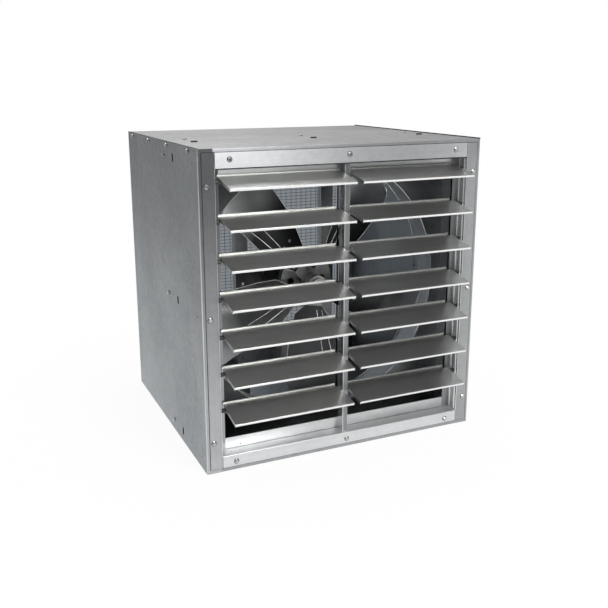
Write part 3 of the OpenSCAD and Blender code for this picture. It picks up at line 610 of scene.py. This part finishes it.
class Shop:
    """Turns forms into named pieces that ride on the frame's bodies."""

    def __init__(self) -> None:
        """Starts with the shared groups and no finished materials."""
        self.groups = SurfaceGroups()
        self.made: dict[str, Material] = {}

    def material(self, finish: Finish) -> Material:
        """Finds the material of a finish, which is built on first use.

        Args:
            finish: The finish.

        Returns:
            Its material.
        """
        if finish.name not in self.made:
            self.made[finish.name] = finish.build(self.groups)
        return self.made[finish.name]

    def publish(self, form: Form, name: str, body: str, finish: Finish, *patches: Patch,
                stands_for: str = "", crease: float = 32.0, even: bool = True) -> None:
        """Makes a form a piece of the scene.

        Args:
            form: The finished form, which is freed here.
            name: The piece's name.
            body: The body it rides on.
            finish: The finish of its surface.
            *patches: More finishes, each with the test of the faces that it covers.
            stands_for: The CAD node that it replaces.
            crease: The angle in degrees above which an edge stays sharp.
            even: Whether large flat faces lead the normals at rounded edges.
        """
        if finish.brushed or any(other.brushed for other, _ in patches):
            form.lay_grain(finish.grain)
        form.mesh.normal_update()
        for face in form.mesh.faces:
            face.smooth = True
            for index, (_, covers) in enumerate(patches, 1):
                if covers(face):
                    face.material_index = index
        for edge in form.mesh.edges:
            edge.smooth = len(edge.link_faces) == 2 and edge.calc_face_angle(0.0) < math.radians(crease)
        piece = form.to_object(name)
        for other in (finish, *(other for other, _ in patches)):
            piece.data.materials.append(self.material(other))
        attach(piece, body)
        if stands_for:
            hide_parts(stands_for)
        if even:
            normals = piece.modifiers.new("even_normals", "WEIGHTED_NORMAL")
            normals.keep_sharp = True
        LOG.info("piece %s rides on %s with %d faces", name, body, len(piece.data.polygons))

    def dress(self, finish: Finish, *nodes: str) -> None:
        """Gives CAD nodes a finish.

        Args:
            finish: The finish.
            *nodes: The nodes that keep their own mesh.
        """
        for name in nodes:
            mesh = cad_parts[name].data
            mesh.materials.clear()
            mesh.materials.append(self.material(finish))
            LOG.info("node %s dressed in %s", name, finish.name)


@dataclass
class Assembly:
    """A sub-assembly that forms and dresses its own pieces."""

    shop: Shop
    finishes: FinishSet

    def reform(self, node: str, body: str, finish: Finish, *patches: Patch, bend: float = 0.0,
               least_face: float = LARGE_FACE) -> None:
        """Puts a piece with rounded bends in the place of a CAD node.

        Args:
            node: The node's name.
            body: The body it rides on.
            finish: The finish of its surface.
            *patches: More finishes, each with the test of the faces that it covers.
            bend: The width of the rounding, or 0.
            least_face: Area that both faces of a bend have at least, in square metres.
        """
        form = Form(node)
        if bend:
            form.round_bends(bend, least_face)
        self.shop.publish(form, node + "_formed", body, finish, *patches, stands_for=node)

    def dress(self, **nodes: str) -> None:
        """Gives each finish's nodes that finish, where spaces part their names."""
        for finish, names in nodes.items():
            self.shop.dress(getattr(self.finishes, finish), *names.split())

    def shadow(self, form: Form, name: str) -> None:
        """Makes a form a dark piece of the cabinet in the seam finish, as painted shadow."""
        self.shop.publish(form, name, "cabinet", self.finishes.seam, even=False)

    @staticmethod
    def is_side_web(face: BMFace) -> bool:
        """Tells whether a face is a large one that looks left or right."""
        return abs(face.normal.x) > SQUARE_ON and face.calc_area() > LARGE_FACE


@dataclass
class Cabinet(Assembly):
    """The folded sheet cabinet and the orifice pan inside it."""

    bend: float = 2.2 * MM
    half_depth: float = 378.8 * MM
    # The least x, greatest x and top of the painted shadow strip along the top edge on either side.
    top_edges: tuple[Triple, ...] = ((-0.4175, -0.4163, 0.8670), (0.4172, 0.4189, 0.8686))
    # The radius, depth behind the front and thickness of each bead of the orifice ring.
    ring_beads: tuple[Triple, ...] = ((386.6 * MM, 178.6 * MM, 1.3 * MM), (394.4 * MM, 276.0 * MM, 1.1 * MM))
    bead_steps: int = 144
    bead_sides: int = 8
    # The slots: where they lie, half their straight part, their end radius, and the height and
    # width of their dark rims of painted shadow on the walls and on the top, which is seen almost along its
    # surface.
    slot_depth: float = 226 * MM
    slot_heights: Triple = (0.033, 0.430, 0.827)
    slot_places: Triple = (-0.357, 0.0, 0.357)
    slot_straight: float = 6.0 * MM
    slot_radius: float = 2.8 * MM
    slot_steps: int = 24
    wall_rim: tuple[float, float] = (0.16 * MM, 3.2 * MM)
    top_rim: tuple[float, float] = (3.4 * MM, 0.8 * MM)

    def build(self) -> None:
        """Forms the panels and dresses the orifice pan."""
        sheets = self.finishes
        for node, finish, flange in (("left_side_panel", sheets.side_sheet, sheets.left_upright_painted_light),
                                     ("right_side_panel", sheets.side_sheet, sheets.frame_upright),
                                     ("top_panel", sheets.top_sheet, sheets.frame_upright),
                                     ("bottom_panel", sheets.inner_sheet, sheets.frame_upright)):
            self.reform(node, "cabinet", finish, (flange, self._is_front),
                        (sheets.lit_inner_wall, self._is_inside), (sheets.corner, self._is_corner),
                        (sheets.seam, self._in_hole), bend=self.bend)
        self.dress(orifice="orifice_panel", ring="orifice_ring")
        self._edges()
        self._beads()
        self._slot_rims()

    @staticmethod
    def _is_front(face: BMFace) -> bool:
        """Tells whether a face belongs to a front return flange."""
        spot = face.calc_center_median()
        return face.normal.y < -SQUARE_ON and spot.y < FRONT + 1 * MM and spot.z < TOP_Z - SHEET

    @staticmethod
    def _is_corner(face: BMFace) -> bool:
        """Tells whether a face is part of the rounded front corner of a side panel, which gets a painted
        highlight.
        """
        outer = abs(face.calc_center_median().x) > WALL_X - 3 * MM
        return outer and abs(face.normal.x) > SLANTING and face.normal.y < -SLANTING

    @staticmethod
    def _is_inside(face: BMFace) -> bool:
        """Tells whether a face looks into the cabinet from a side wall, where it gets painted light."""
        return face.normal.x * face.calc_center_median().x < 0.0 and Assembly.is_side_web(face)

    @staticmethod
    def _in_hole(face: BMFace) -> bool:
        """Tells whether a face is a cut edge inside a slot or hole, darkened as painted shade.

        Args:
            face: A face of a panel.

        Returns:
            Whether it is one.
        """
        spot = face.calc_center_median()
        within = (abs(spot.y) < 360 * MM and abs(spot.x) < WALL_X + 0.5 * MM
                  and 12 * MM < spot.z < TOP_Z - 0.2 * MM)
        in_wall = abs(spot.x) > WALL_X - SHEET and abs(face.normal.x) < 0.5 and spot.z < TOP_Z - 4 * MM
        in_top = spot.z > TOP_Z - SHEET and abs(face.normal.z) < 0.5 and abs(spot.x) < WALL_X - 9 * MM
        return within and face.calc_area() < 0.1 * LARGE_FACE and (in_wall or in_top)

    def _edges(self) -> None:
        """Adds dark strips along the side panels' top edges as painted shadow.

        The right one stands up, as the photograph shows it over the top's far edge.
        """
        form = Form()
        for low, high, top in self.top_edges:
            form.block((low, -self.half_depth, TOP_Z - 0.2 * MM), (high, self.half_depth, top))
        self.shadow(form, "side_panel_edge_shadows")

    def _beads(self) -> None:
        """Adds the beads at the mouth and at the rear of the orifice ring, light in the wall finish as
        painted highlights.
        """
        form = Form()
        for radius, depth, bead in self.ring_beads:
            loops = []
            for k in range(self.bead_steps):
                turn = 2 * math.pi * k / self.bead_steps
                out = Vector((math.cos(turn), 0.0, math.sin(turn)))
                centre = Vector((0.0, FRONT + depth, AXIS_Z)) + out * radius
                angles = (2 * math.pi * j / self.bead_sides for j in range(self.bead_sides))
                loops.append([centre + bead * (out * math.cos(angle) + REARWARD * math.sin(angle))
                              for angle in angles])
            form.wrap(loops)
        form.face_out()
        self.shop.publish(form, "ring_beads", "cabinet", self.finishes.wall)

    def _slot_rims(self) -> None:
        """Adds dark rims round the slots as painted shadow, nearly flat on the walls and raised on the top.
        """
        form = Form()
        y = FRONT + self.slot_depth
        slots = [(Vector((side * WALL_X, y, z)), side * RIGHTWARD, UPWARD, self.wall_rim)
                 for side in (-1, 1) for z in self.slot_heights]
        slots += [(Vector((x, y, TOP_Z)), UPWARD, RIGHTWARD, self.top_rim) for x in self.slot_places]
        for centre, out, along, (rise, width) in slots:
            form.wrap([self._slot_loop(centre + out * lift, out, along, self.slot_radius + grow)
                             for lift, grow in ((0.0, 0.0), (rise, 0.0), (rise, width), (0.0, width))])
        form.face_out()
        self.shadow(form, "slot_rim_shadows")

    def _slot_loop(self, centre: Vector, out: Vector, along: Vector, radius: float) -> list[Vector]:
        """Gives the outline of a slot.

        Args:
            centre: Its centre.
            out: The direction that its sheet faces.
            along: The direction of its length.
            radius: The radius of its ends.

        Returns:
            The points of the outline.
        """
        points = []
        for k in range(self.slot_steps):
            turn = 2 * math.pi * k / self.slot_steps
            end = math.copysign(self.slot_straight, math.cos(turn)) if abs(math.cos(turn)) > 1e-6 else 0.0
            points.append(centre + out.cross(along) * radius * math.sin(turn)
                          + along * (end + radius * math.cos(turn)))
        return points


@dataclass
class ShutterFrame(Assembly):
    """The channel frame, mullion and bushings of the shutter."""

    bend: float = 1.6 * MM
    opening: float = 374.8 * MM
    face: float = 34 * MM
    low: float = 44 * MM
    high: float = 816 * MM
    bottom: float = 11 * MM
    top: float = 856 * MM
    bead: float = 2.6 * MM
    bead_depths: tuple[float, float] = (9 * MM, 33 * MM)
    # The width of the dark strips of painted shadow round the frame and at its joints, how far they stand out
    # in front of the cabinet and of the frame, and where their rear lies.
    gap: float = 1.3 * MM
    outer_step: float = 0.9 * MM
    joint_step: float = 1.25 * MM
    gap_rear: float = 0.05 * MM
    # The depth of the sill's rear lip, and how much shorter the painted shadow line in front of it is.
    lip_depth: float = 40.8 * MM
    lip_inset: float = 23 * MM
    # The tool marks: the places and radius of those on the sill, then of the one on its lip.
    mark_places: tuple[float, float] = (-319 * MM, -343 * MM)
    mark_radius: float = 1.6 * MM
    lip_mark: Triple = (-309 * MM, FRONT + 40.7 * MM, 52 * MM)
    lip_mark_radius: float = 1.8 * MM
    mark_depth: float = 0.4 * MM
    mark_sides: int = 12

    def build(self) -> None:
        """Forms the frame members and adds their beads, gaps and marks."""
        sheets = self.finishes
        for node, finish in (("left_jamb", sheets.left_upright_painted_light), ("right_jamb", sheets.frame_upright),
                             ("mullion", sheets.mullion), ("head_rail", sheets.frame_head_shaded),
                             ("sill_rail", sheets.frame_level)):
            # Side webs, bends round the opening and the head rail's rear lip take lighter finishes: painted
            # light and highlights.
            self.reform(node, "cabinet", finish, (sheets.wall, self.is_side_web),
                        (sheets.painted_bend_highlight, self._is_bend), (sheets.lip, self._is_head_lip), bend=self.bend)
        self.dress(nylon="pivot_bushings")
        self._beads()
        self._seams()
        self._marks()

    @staticmethod
    def _is_bend(face: BMFace) -> bool:
        """Tells whether a face is part of the rounded bend round the opening, which gets a painted highlight.
        """
        return SLANTING < abs(face.normal.x) < 0.96 and face.normal.y < -SLANTING

    def _is_head_lip(self, face: BMFace) -> bool:
        """Tells whether a face is the front of the head rail's rear lip, which gets painted light.

        Args:
            face: A face of a frame member.

        Returns:
            Whether it is one.
        """
        x, y, z = face.calc_center_median()
        rear = y > FRONT + 30 * MM and z > self.high - 25 * MM
        return rear and face.normal.y < -SQUARE_ON and abs(x) < 1 * MM

    def _beads(self) -> None:
        """Adds the two rolled stiffening beads of each jamb wall, light in the wall finish as painted
        highlights.
        """
        inset = 2 * MM
        for x, side in ((-self.opening, Side.LEFT), (self.opening, Side.RIGHT)):
            form = Form()
            for depth in self.bead_depths:
                y = FRONT + depth
                form.rod((x, y, self.low + inset), (x, y, self.high - inset), self.bead, 16)
            self.shop.publish(form, f"{side.value}_jamb_beads", "cabinet", self.finishes.wall)

    def _seams(self) -> None:
        """Adds dark strips of painted shadow round the frame's edges, at its corner joints, under the head
        rail and in front of the sill's lip.
        """
        form = Form()
        rear, step, face = (FRONT - out for out in (self.gap_rear, self.outer_step, self.joint_step))
        outer = self.opening + self.face
        for side in (-1, 1):
            for x, y, low, high in ((side * (outer + self.gap / 2), step, self.bottom, self.top),
                                    (side * self.opening, face, self.high, self.top),
                                    (side * self.opening, face, self.bottom, self.low)):
                form.block((x - self.gap / 2, y, low), (x + self.gap / 2, rear, high))
        form.block((-self.opening, face, self.high - 2 * self.gap), (self.opening, rear, self.high))
        joint, half = FRONT + self.lip_depth, self.opening - self.lip_inset
        form.block((-half, joint - 0.9 * MM, self.low), (half, joint, self.low + 0.5 * MM))
        for low, high in ((self.top, self.top + self.gap), (self.bottom - 0.6 * self.gap, self.bottom)):
            form.block((-outer, step, low), (outer, rear, high))
        self.shadow(form, "frame_seam_shadows")

    def _marks(self) -> None:
        """Adds the punched tool marks on the sill, two on its floor and one on its lip."""
        form = Form()
        for x in self.mark_places:
            top = Vector((x, FRONT + 20 * MM, self.low + 0.12 * MM))
            form.rod(top - UPWARD * self.mark_depth, top, self.mark_radius, self.mark_sides)
        lip = Vector(self.lip_mark)
        form.rod(lip, lip + REARWARD * self.mark_depth, self.lip_mark_radius, self.mark_sides)
        self.shadow(form, "sill_marks")


@dataclass
class ShutterColumn(Assembly):
    """One column of seven blades with its tie bar."""

    side: Side
    rows: int = 7
    bend: float = 1.0 * MM
    least_face: float = 0.001
    # The share of the colour that the top blade keeps under the head rail's shadow.
    top_share: float = 0.75

    def build(self) -> None:
        """Forms the blades and dresses the tie bar."""
        name = self.side.value
        sheet = self.finishes.left_blade if self.side is Side.LEFT else self.finishes.right_blade
        for row in range(1, self.rows + 1):
            blade = f"{name}_blade_{row}"
            self.reform(blade, blade, sheet.dimmed(self.top_share) if row == 1 else sheet,
                        (self.finishes.hem, self._is_hem), bend=self.bend, least_face=self.least_face)
        self.shop.dress(sheet, f"{name}_tie_bar")
        self.dress(nylon=f"{name}_tie_eyelets")

    @staticmethod
    def _is_hem(face: BMFace) -> bool:
        """Tells whether a face is the front of the down-turned hem, which gets a painted highlight."""
        return face.normal.y < -0.7 and face.calc_area() > 0.25 * LARGE_FACE


@dataclass
class Propeller(Assembly):
    """The propeller with its shaft and rotor."""

    blades: int = 5
    depth: float = 226 * MM
    first_angle: float = 125.0
    pitch: float = 23.0
    tip: float = 379 * MM
    rib: float = 1.3 * MM
    rib_steps: int = 14
    edge_rod: float = 0.9 * MM
    # The share of the tip radius that the hub covers, where no edge is added.
    hub_share: float = 0.22
    # The ends of each rib on the blade's plan, as shares of the tip radius.
    rib_lines: tuple[tuple[tuple[float, float], ...], ...] = (
        ((0.70, 0.19), (0.22, 0.07)), ((0.625, 0.092), (0.22, 0.03)))

    def build(self) -> None:
        """Dresses the propeller's nodes and adds the ribs and edges of its blades."""
        nodes = [f"propeller_blade_{k}" for k in range(1, self.blades + 1)]
        self.dress(propeller=" ".join(nodes), casting="propeller_hub", steel="motor_shaft",
                   winding="motor_rotor", zinc="propeller_rivets hub_set_screw")
        form = Form()
        for k, node in enumerate(nodes):
            turn = (Matrix.Translation((0.0, FRONT + self.depth, AXIS_Z))
                    @ Matrix.Rotation(math.radians(-self.first_angle - 360.0 / self.blades * k), 4, "Y")
                    @ Matrix.Rotation(math.radians(90.0 + self.pitch), 4, "X"))
            self._ribs(form, node, turn)
            self._edge(form, node, (turn.to_3x3() @ UPWARD).normalized())
        self.shop.publish(form, "propeller_ribs", "propeller", self.finishes.wall, even=False)

    def _ribs(self, form: Form, node: str, turn: Matrix) -> None:
        """Presses two ribs into the front of a blade, light in the wall finish as painted highlights.

        Args:
            form: The form they go into.
            node: The blade's node.
            turn: The place of the blade's plan.
        """
        source = bmesh.new()
        source.from_mesh(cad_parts[node].data)
        skin = BVHTree.FromBMesh(source)
        source.free()
        down = (turn.to_3x3() @ -UPWARD).normalized()
        for near, far in self.rib_lines:
            points = []
            for step in range(self.rib_steps + 1):
                share = step / self.rib_steps
                spot = [self.tip * (near[i] * (1 - share) + far[i] * share) for i in range(2)]
                hit = skin.ray_cast(turn @ Vector((*spot, 0.2)), down)[0]
                if hit:
                    points.append(hit)
            for start, end in zip(points, points[1:]):
                form.rod(start, end, self.rib, 8)

    def _edge(self, form: Form, node: str, up: Vector) -> None:
        """Adds the rounded edge along a blade's front outline, bright in the wall finish as a painted
        highlight.

        Args:
            form: The form it goes into.
            node: The blade's node.
            up: The direction that the blade's front faces.
        """
        blade = Form(node).mesh
        blade.normal_update()
        for edge in blade.edges:
            if len(edge.link_faces) != 2:
                continue
            rim, front = sorted(face.normal.dot(up) for face in edge.link_faces)
            start, end = (vert.co for vert in edge.verts)
            middle = (start + end) / 2.0
            off_hub = math.hypot(middle.x, middle.z - AXIS_Z) > self.hub_share * self.tip
            # The outline is where the front skin meets the cut rim, which stands across it.
            if off_hub and front > 0.6 and abs(rim) < 0.5 and edge.calc_length() > 1 * MM:
                form.rod(start, end, self.edge_rod, 6)
        blade.free()


@dataclass
class MotorStand(Assembly):
    """The struts, plates, motor and junction box."""

    def build(self) -> None:
        """Forms the uprights and dresses the other nodes of the stand."""
        sheets = self.finishes
        for node in ("left_motor_strut", "right_motor_strut"):
            # The struts' side webs are lighter in the wall finish as painted light.
            self.reform(node, "cabinet", sheets.inner_sheet, (sheets.wall, self.is_side_web))
        self.dress(inner_sheet="strut_cross_rail", paint="motor_plate motor_shell",
                   casting="motor_front_bell motor_rear_bell", winding="motor_stator",
                   steel="motor_bearings", box="junction_box junction_cover")


@dataclass
class RearGuard(Assembly):
    """The welded wire net behind the fan."""

    depth: float = 754.5 * MM
    half_width: float = 397.5 * MM
    low: float = 22 * MM
    high: float = 844 * MM
    across: float = 19.8 * MM
    upward: float = 11.7 * MM
    wire: float = 0.8 * MM
    wire_sides: int = 6

    def build(self) -> None:
        """Builds the fine net in place of the coarse one."""
        form = Form()
        plane = FRONT + self.depth - self.wire
        uprights = int(2 * self.half_width / self.across)
        for k in range(uprights + 1):
            x = (k - uprights / 2) * self.across
            form.rod((x, plane, self.low), (x, plane, self.high), self.wire, self.wire_sides)
        levels = int((self.high - self.low) / self.upward)
        start = (self.low + self.high - levels * self.upward) / 2
        # The level wires lie against the uprights and are welded into them a little.
        back = plane - 1.4 * self.wire
        for k in range(levels + 1):
            z = start + k * self.upward
            form.rod((-self.half_width, back, z), (self.half_width, back, z), self.wire,
                     self.wire_sides)
        self.shop.publish(form, "guard_net", "cabinet", self.finishes.wire, stands_for="guard_mesh")
        self.dress(inner_sheet="guard_frame")


@dataclass(frozen=True)
class Screw:
    """One hex washer-head screw read from its CAD solid."""

    seat: Vector
    out: Vector
    shank_end: Vector

    @classmethod
    def read(cls, verts: list[BMVert], shank: float) -> "Screw":
        """Finds the seat and direction of a screw.

        Args:
            verts: The vertices of the solid.
            shank: The shank's radius.

        Returns:
            The screw.
        """
        low, high = (Vector([pick(vert.co[k] for vert in verts) for k in range(3)]) for pick in (min, max))
        middle, size = (low + high) / 2.0, high - low
        # Across its own axis, a screw is as wide as it is high.
        axis = next(k for k in range(3) if abs(size[(k + 1) % 3] - size[(k + 2) % 3]) < 0.4 * MM)
        out = (RIGHTWARD, REARWARD, UPWARD)[axis]
        head = [vert.co[axis] for vert in verts if (vert.co - middle).cross(out).length > 1.5 * shank]
        seat, end = middle.copy(), middle.copy()
        seat[axis], end[axis] = min(head), low[axis]
        if sum(head) / len(head) < middle[axis]:
            out, seat[axis], end[axis] = -out, max(head), high[axis]
        return cls(seat, out, end)


@dataclass
class Fasteners(Assembly):
    """Hex washer-head screws."""

    across: float = 9.5 * MM
    height: float = 4.6 * MM
    washer: float = 6.4 * MM
    shank: float = 2.1 * MM
    washer_side: float = 0.6 * MM
    washer_top: float = 1.2 * MM
    bevel: float = 0.7 * MM
    # How far the dark ring of painted contact shadow reaches out round the washer, down into the sheet and up
    # over it.
    ring: Triple = (1.2 * MM, 0.2 * MM, 0.15 * MM)
    groups: tuple[str, ...] = ("cabinet_screws", "shutter_screws", "guard_screws", "motor_bolts")

    def build(self) -> None:
        """Forms every group of screws and the dark rings of painted contact shadow under the heads."""
        rings = Form()
        reach, down, up = self.ring
        for group in self.groups:
            source = Form(group)
            screws = [Screw.read(part, self.shank) for part in source.islands()]
            source.mesh.free()
            form = Form()
            for screw in screws:
                self._form(form, screw)
                if group != "motor_bolts":
                    rings.rod(screw.seat - screw.out * down, screw.seat + screw.out * up,
                              self.washer + reach, 24)
            LOG.info("%s: %d screws", group, len(screws))
            self.shop.publish(form, group + "_formed", "cabinet", self.finishes.zinc, stands_for=group,
                              crease=25.0, even=False)
        self.shadow(rings, "screw_ring_shadows")

    def _form(self, form: Form, screw: Screw) -> None:
        """Adds one screw: its shank, its bevelled washer and its bevelled hex head.

        Args:
            form: The form it goes into.
            screw: The screw.
        """
        tip = (screw.shank_end - screw.seat).length
        corner = self.across / 2 / math.cos(math.radians(30.0))
        side, top, shoulder = self.washer_side, self.washer_top, self.height - self.bevel
        # The start, end, first radius, last radius and number of sides of each step.
        for start, end, wide, narrow, sides in ((-tip, 0.2 * MM, self.shank, self.shank, 12),
                                                (0.0, side, self.washer, self.washer, 24),
                                                (side, top, self.washer, 0.86 * self.washer, 24),
                                                (top - 0.1 * MM, shoulder, corner, corner, 6),
                                                (shoulder, self.height, corner, 0.8 * corner, 6)):
            form.rod(screw.seat + screw.out * start, screw.seat + screw.out * end, wide, sides, narrow)


@dataclass(frozen=True)
class Lamp:
    """A square area lamp."""

    name: str
    place: Triple
    aim: Triple
    size: float
    power: float

    def hang(self) -> None:
        """Adds the lamp to the scene."""
        data = bpy.data.lights.new(self.name, "AREA")
        data.size = self.size
        data.energy = self.power
        lamp = bpy.data.objects.new(self.name, data)
        lamp.location = self.place
        lamp.rotation_euler = (Vector(self.aim) - Vector(self.place)).to_track_quat("-Z", "Y").to_euler()
        bpy.context.scene.collection.objects.link(lamp)


@dataclass
class Studio:
    """Plain pale studio with soft light and the photograph's camera."""

    eye: Vector = field(default_factory=lambda: Vector((-0.98736, -2.25208, 1.02762)))
    azimuth: float = 24.497
    elevation: float = -13.775
    roll: float = -0.083
    focal_px: float = 794.1
    frame_px: float = 608.0
    centre_row: float = 275.0
    sensor_mm: float = 36.0
    white: tuple[float, ...] = (1.0, 1.0, 1.0, 1.0)
    floor_grey: tuple[float, ...] = (0.8, 0.8, 0.8, 1.0)
    pane_grey: tuple[float, ...] = (0.22, 0.24, 0.26, 1.0)
    pane_y: float = 378.5 * MM
    wall_height: float = 5.0
    lamps: tuple[Lamp, ...] = (
        Lamp("key", (0.45, -2.7, 2.5), (-0.1, -0.4, 0.5), 1.2, 80.0),
        Lamp("strip", (0.45, -2.6, 1.3), (-0.2, -0.4, 0.8), 0.5, 3.8),
        Lamp("side", (2.4, -2.3, 0.4), (0.3, -0.4, 0.3), 1.0, 5.0),
        Lamp("fill", (-3.4, -1.8, 2.0), (0.0, 0.0, 0.4), 2.0, 9.0),
        Lamp("top", (0.0, 1.6, 3.4), (0.0, 0.2, 0.8), 2.6, 46.0),
        Lamp("rear", (0.3, 2.3, 0.3), (0.3, 0.3, 0.4), 0.8, 32.0))

    def build(self) -> None:
        """Builds the floor, backdrop, lamps and camera."""
        self._floor()
        self._world()
        for lamp in self.lamps:
            lamp.hang()
        self._scrim()
        self._camera()

    @staticmethod
    def _material(made: bpy.types.Object, name: str) -> tuple[Graph, NodeSocket]:
        """Gives an object a new node material.

        Args:
            made: The object.
            name: The material's name.

        Returns:
            The material's graph and its surface socket.
        """
        material = bpy.data.materials.new(name)
        material.use_nodes = True
        made.data.materials.append(material)
        return Graph(material.node_tree), material.node_tree.nodes["Material Output"].inputs["Surface"]

    def _scrim(self) -> None:
        """Hangs a clear pane behind the guard that greys the backdrop seen from the front."""
        form = Form()
        form.sheet((0.0, self.pane_y, AXIS_Z), 90.0, (0.78, 0.80))
        pane = form.to_object("scrim")
        graph, surface = self._material(pane, "scrim_grey")
        behind = graph.add("NewGeometry").outputs["Backfacing"]
        tint = graph.value("Mix", data_type="RGBA", Factor=behind, A=self.pane_grey, B=self.white)
        graph.fill(surface, graph.value("BsdfTransparent", Color=tint))

    def _floor(self) -> None:
        """Adds a pale floor and a wall behind the fan, both white to the camera and to metal."""
        form = Form()
        form.sheet((0.0, 1.0, -0.001), 0.0, (16.0, 10.0))
        back = [edge for edge in form.mesh.edges if all(vert.co.y > 5.9 for vert in edge.verts)]
        raised = bmesh.ops.extrude_edge_only(form.mesh, edges=back)["geom"]
        bmesh.ops.translate(form.mesh, verts=[part for part in raised if isinstance(part, BMVert)],
                            vec=self.wall_height * UPWARD)
        form.face_out()
        floor = form.to_object("floor")
        graph, surface = self._material(floor, "floor_white")
        path = graph.add("LightPath").outputs
        place = graph.add("TexCoord").outputs["Object"]
        reach = graph.value("VectorMath", place, operation="LENGTH")
        # White to the camera, a little less so under the fan, and fading off in reflections.
        seen = graph.remap(reach, 0.94, 1.0, (0.6, 1.3))
        mirrored = graph.remap(reach, 1.0, 0.35, (1.2, 4.5))
        shares = [graph.value("Math", level, path[ray], operation="MULTIPLY")
                  for level, ray in ((seen, "Is Camera Ray"), (mirrored, "Is Glossy Ray"))]
        share = graph.value("Math", *shares, operation="ADD", use_clamp=True)
        diffuse = graph.value("BsdfDiffuse", Color=self.floor_grey)
        glow = graph.value("Emission", Color=self.white, Strength=1.0)
        graph.fill(surface, graph.value("MixShader", share, diffuse, glow))

    def _world(self) -> None:
        """Makes the world white to the camera and a soft grey sky to the light."""
        world = bpy.data.worlds.new("studio")
        bpy.context.scene.world = world
        world.use_nodes = True
        graph = Graph(world.node_tree)
        sky = world.node_tree.nodes["Background"]
        place = graph.add("TexCoord").outputs["Generated"]
        rise = graph.add("SeparateXYZ", place).outputs["Z"]
        graph.fill(sky.inputs["Color"], graph.ramp(rise, (0.0, 0.14), (0.3, 0.28), (0.7, 0.8)))
        graph.fill(sky.inputs["Strength"], 0.8)
        seen = graph.value("Background", Color=self.white, Strength=1.0)
        path = graph.add("LightPath").outputs
        either = graph.value("Math", path["Is Camera Ray"], path["Is Transmission Ray"],
                             operation="ADD", use_clamp=True)
        mix = graph.value("MixShader", either, sky.outputs[0], seen)
        graph.fill(world.node_tree.nodes["World Output"].inputs["Surface"], mix)

    def _camera(self) -> None:
        """Sets the camera that was fitted to the photograph."""
        turn, tilt, roll = (math.radians(angle) for angle in (self.azimuth, self.elevation, self.roll))
        ahead = Vector((math.sin(turn) * math.cos(tilt), math.cos(turn) * math.cos(tilt), math.sin(tilt)))
        right = ahead.cross(UPWARD).normalized()
        above = right.cross(ahead)
        side = right * math.cos(roll) + above * math.sin(roll)
        top = above * math.cos(roll) - right * math.sin(roll)
        data = bpy.data.cameras.new("photo_camera")
        data.sensor_width = self.sensor_mm
        data.lens = self.focal_px / self.frame_px * self.sensor_mm
        data.shift_y = (self.centre_row - self.frame_px / 2) / self.frame_px
        camera = bpy.data.objects.new("photo_camera", data)
        camera.matrix_world = Matrix.Translation(self.eye) @ Matrix((side, top, -ahead)).transposed().to_4x4()
        bpy.context.scene.collection.objects.link(camera)
        bpy.context.scene.camera = camera


def main() -> None:
    """Builds the fan's pieces and the studio."""
    logging.basicConfig(level=logging.INFO)
    bpy.context.scene.view_settings.view_transform = "Standard"
    shop = Shop()
    finishes = FinishSet()
    Cabinet(shop, finishes).build()
    ShutterFrame(shop, finishes).build()
    for side in Side:
        ShutterColumn(shop, finishes, side).build()
    for assembly in (Propeller, MotorStand, RearGuard, Fasteners):
        assembly(shop, finishes).build()
    Studio().build()


if __name__ == "__main__":
    main()
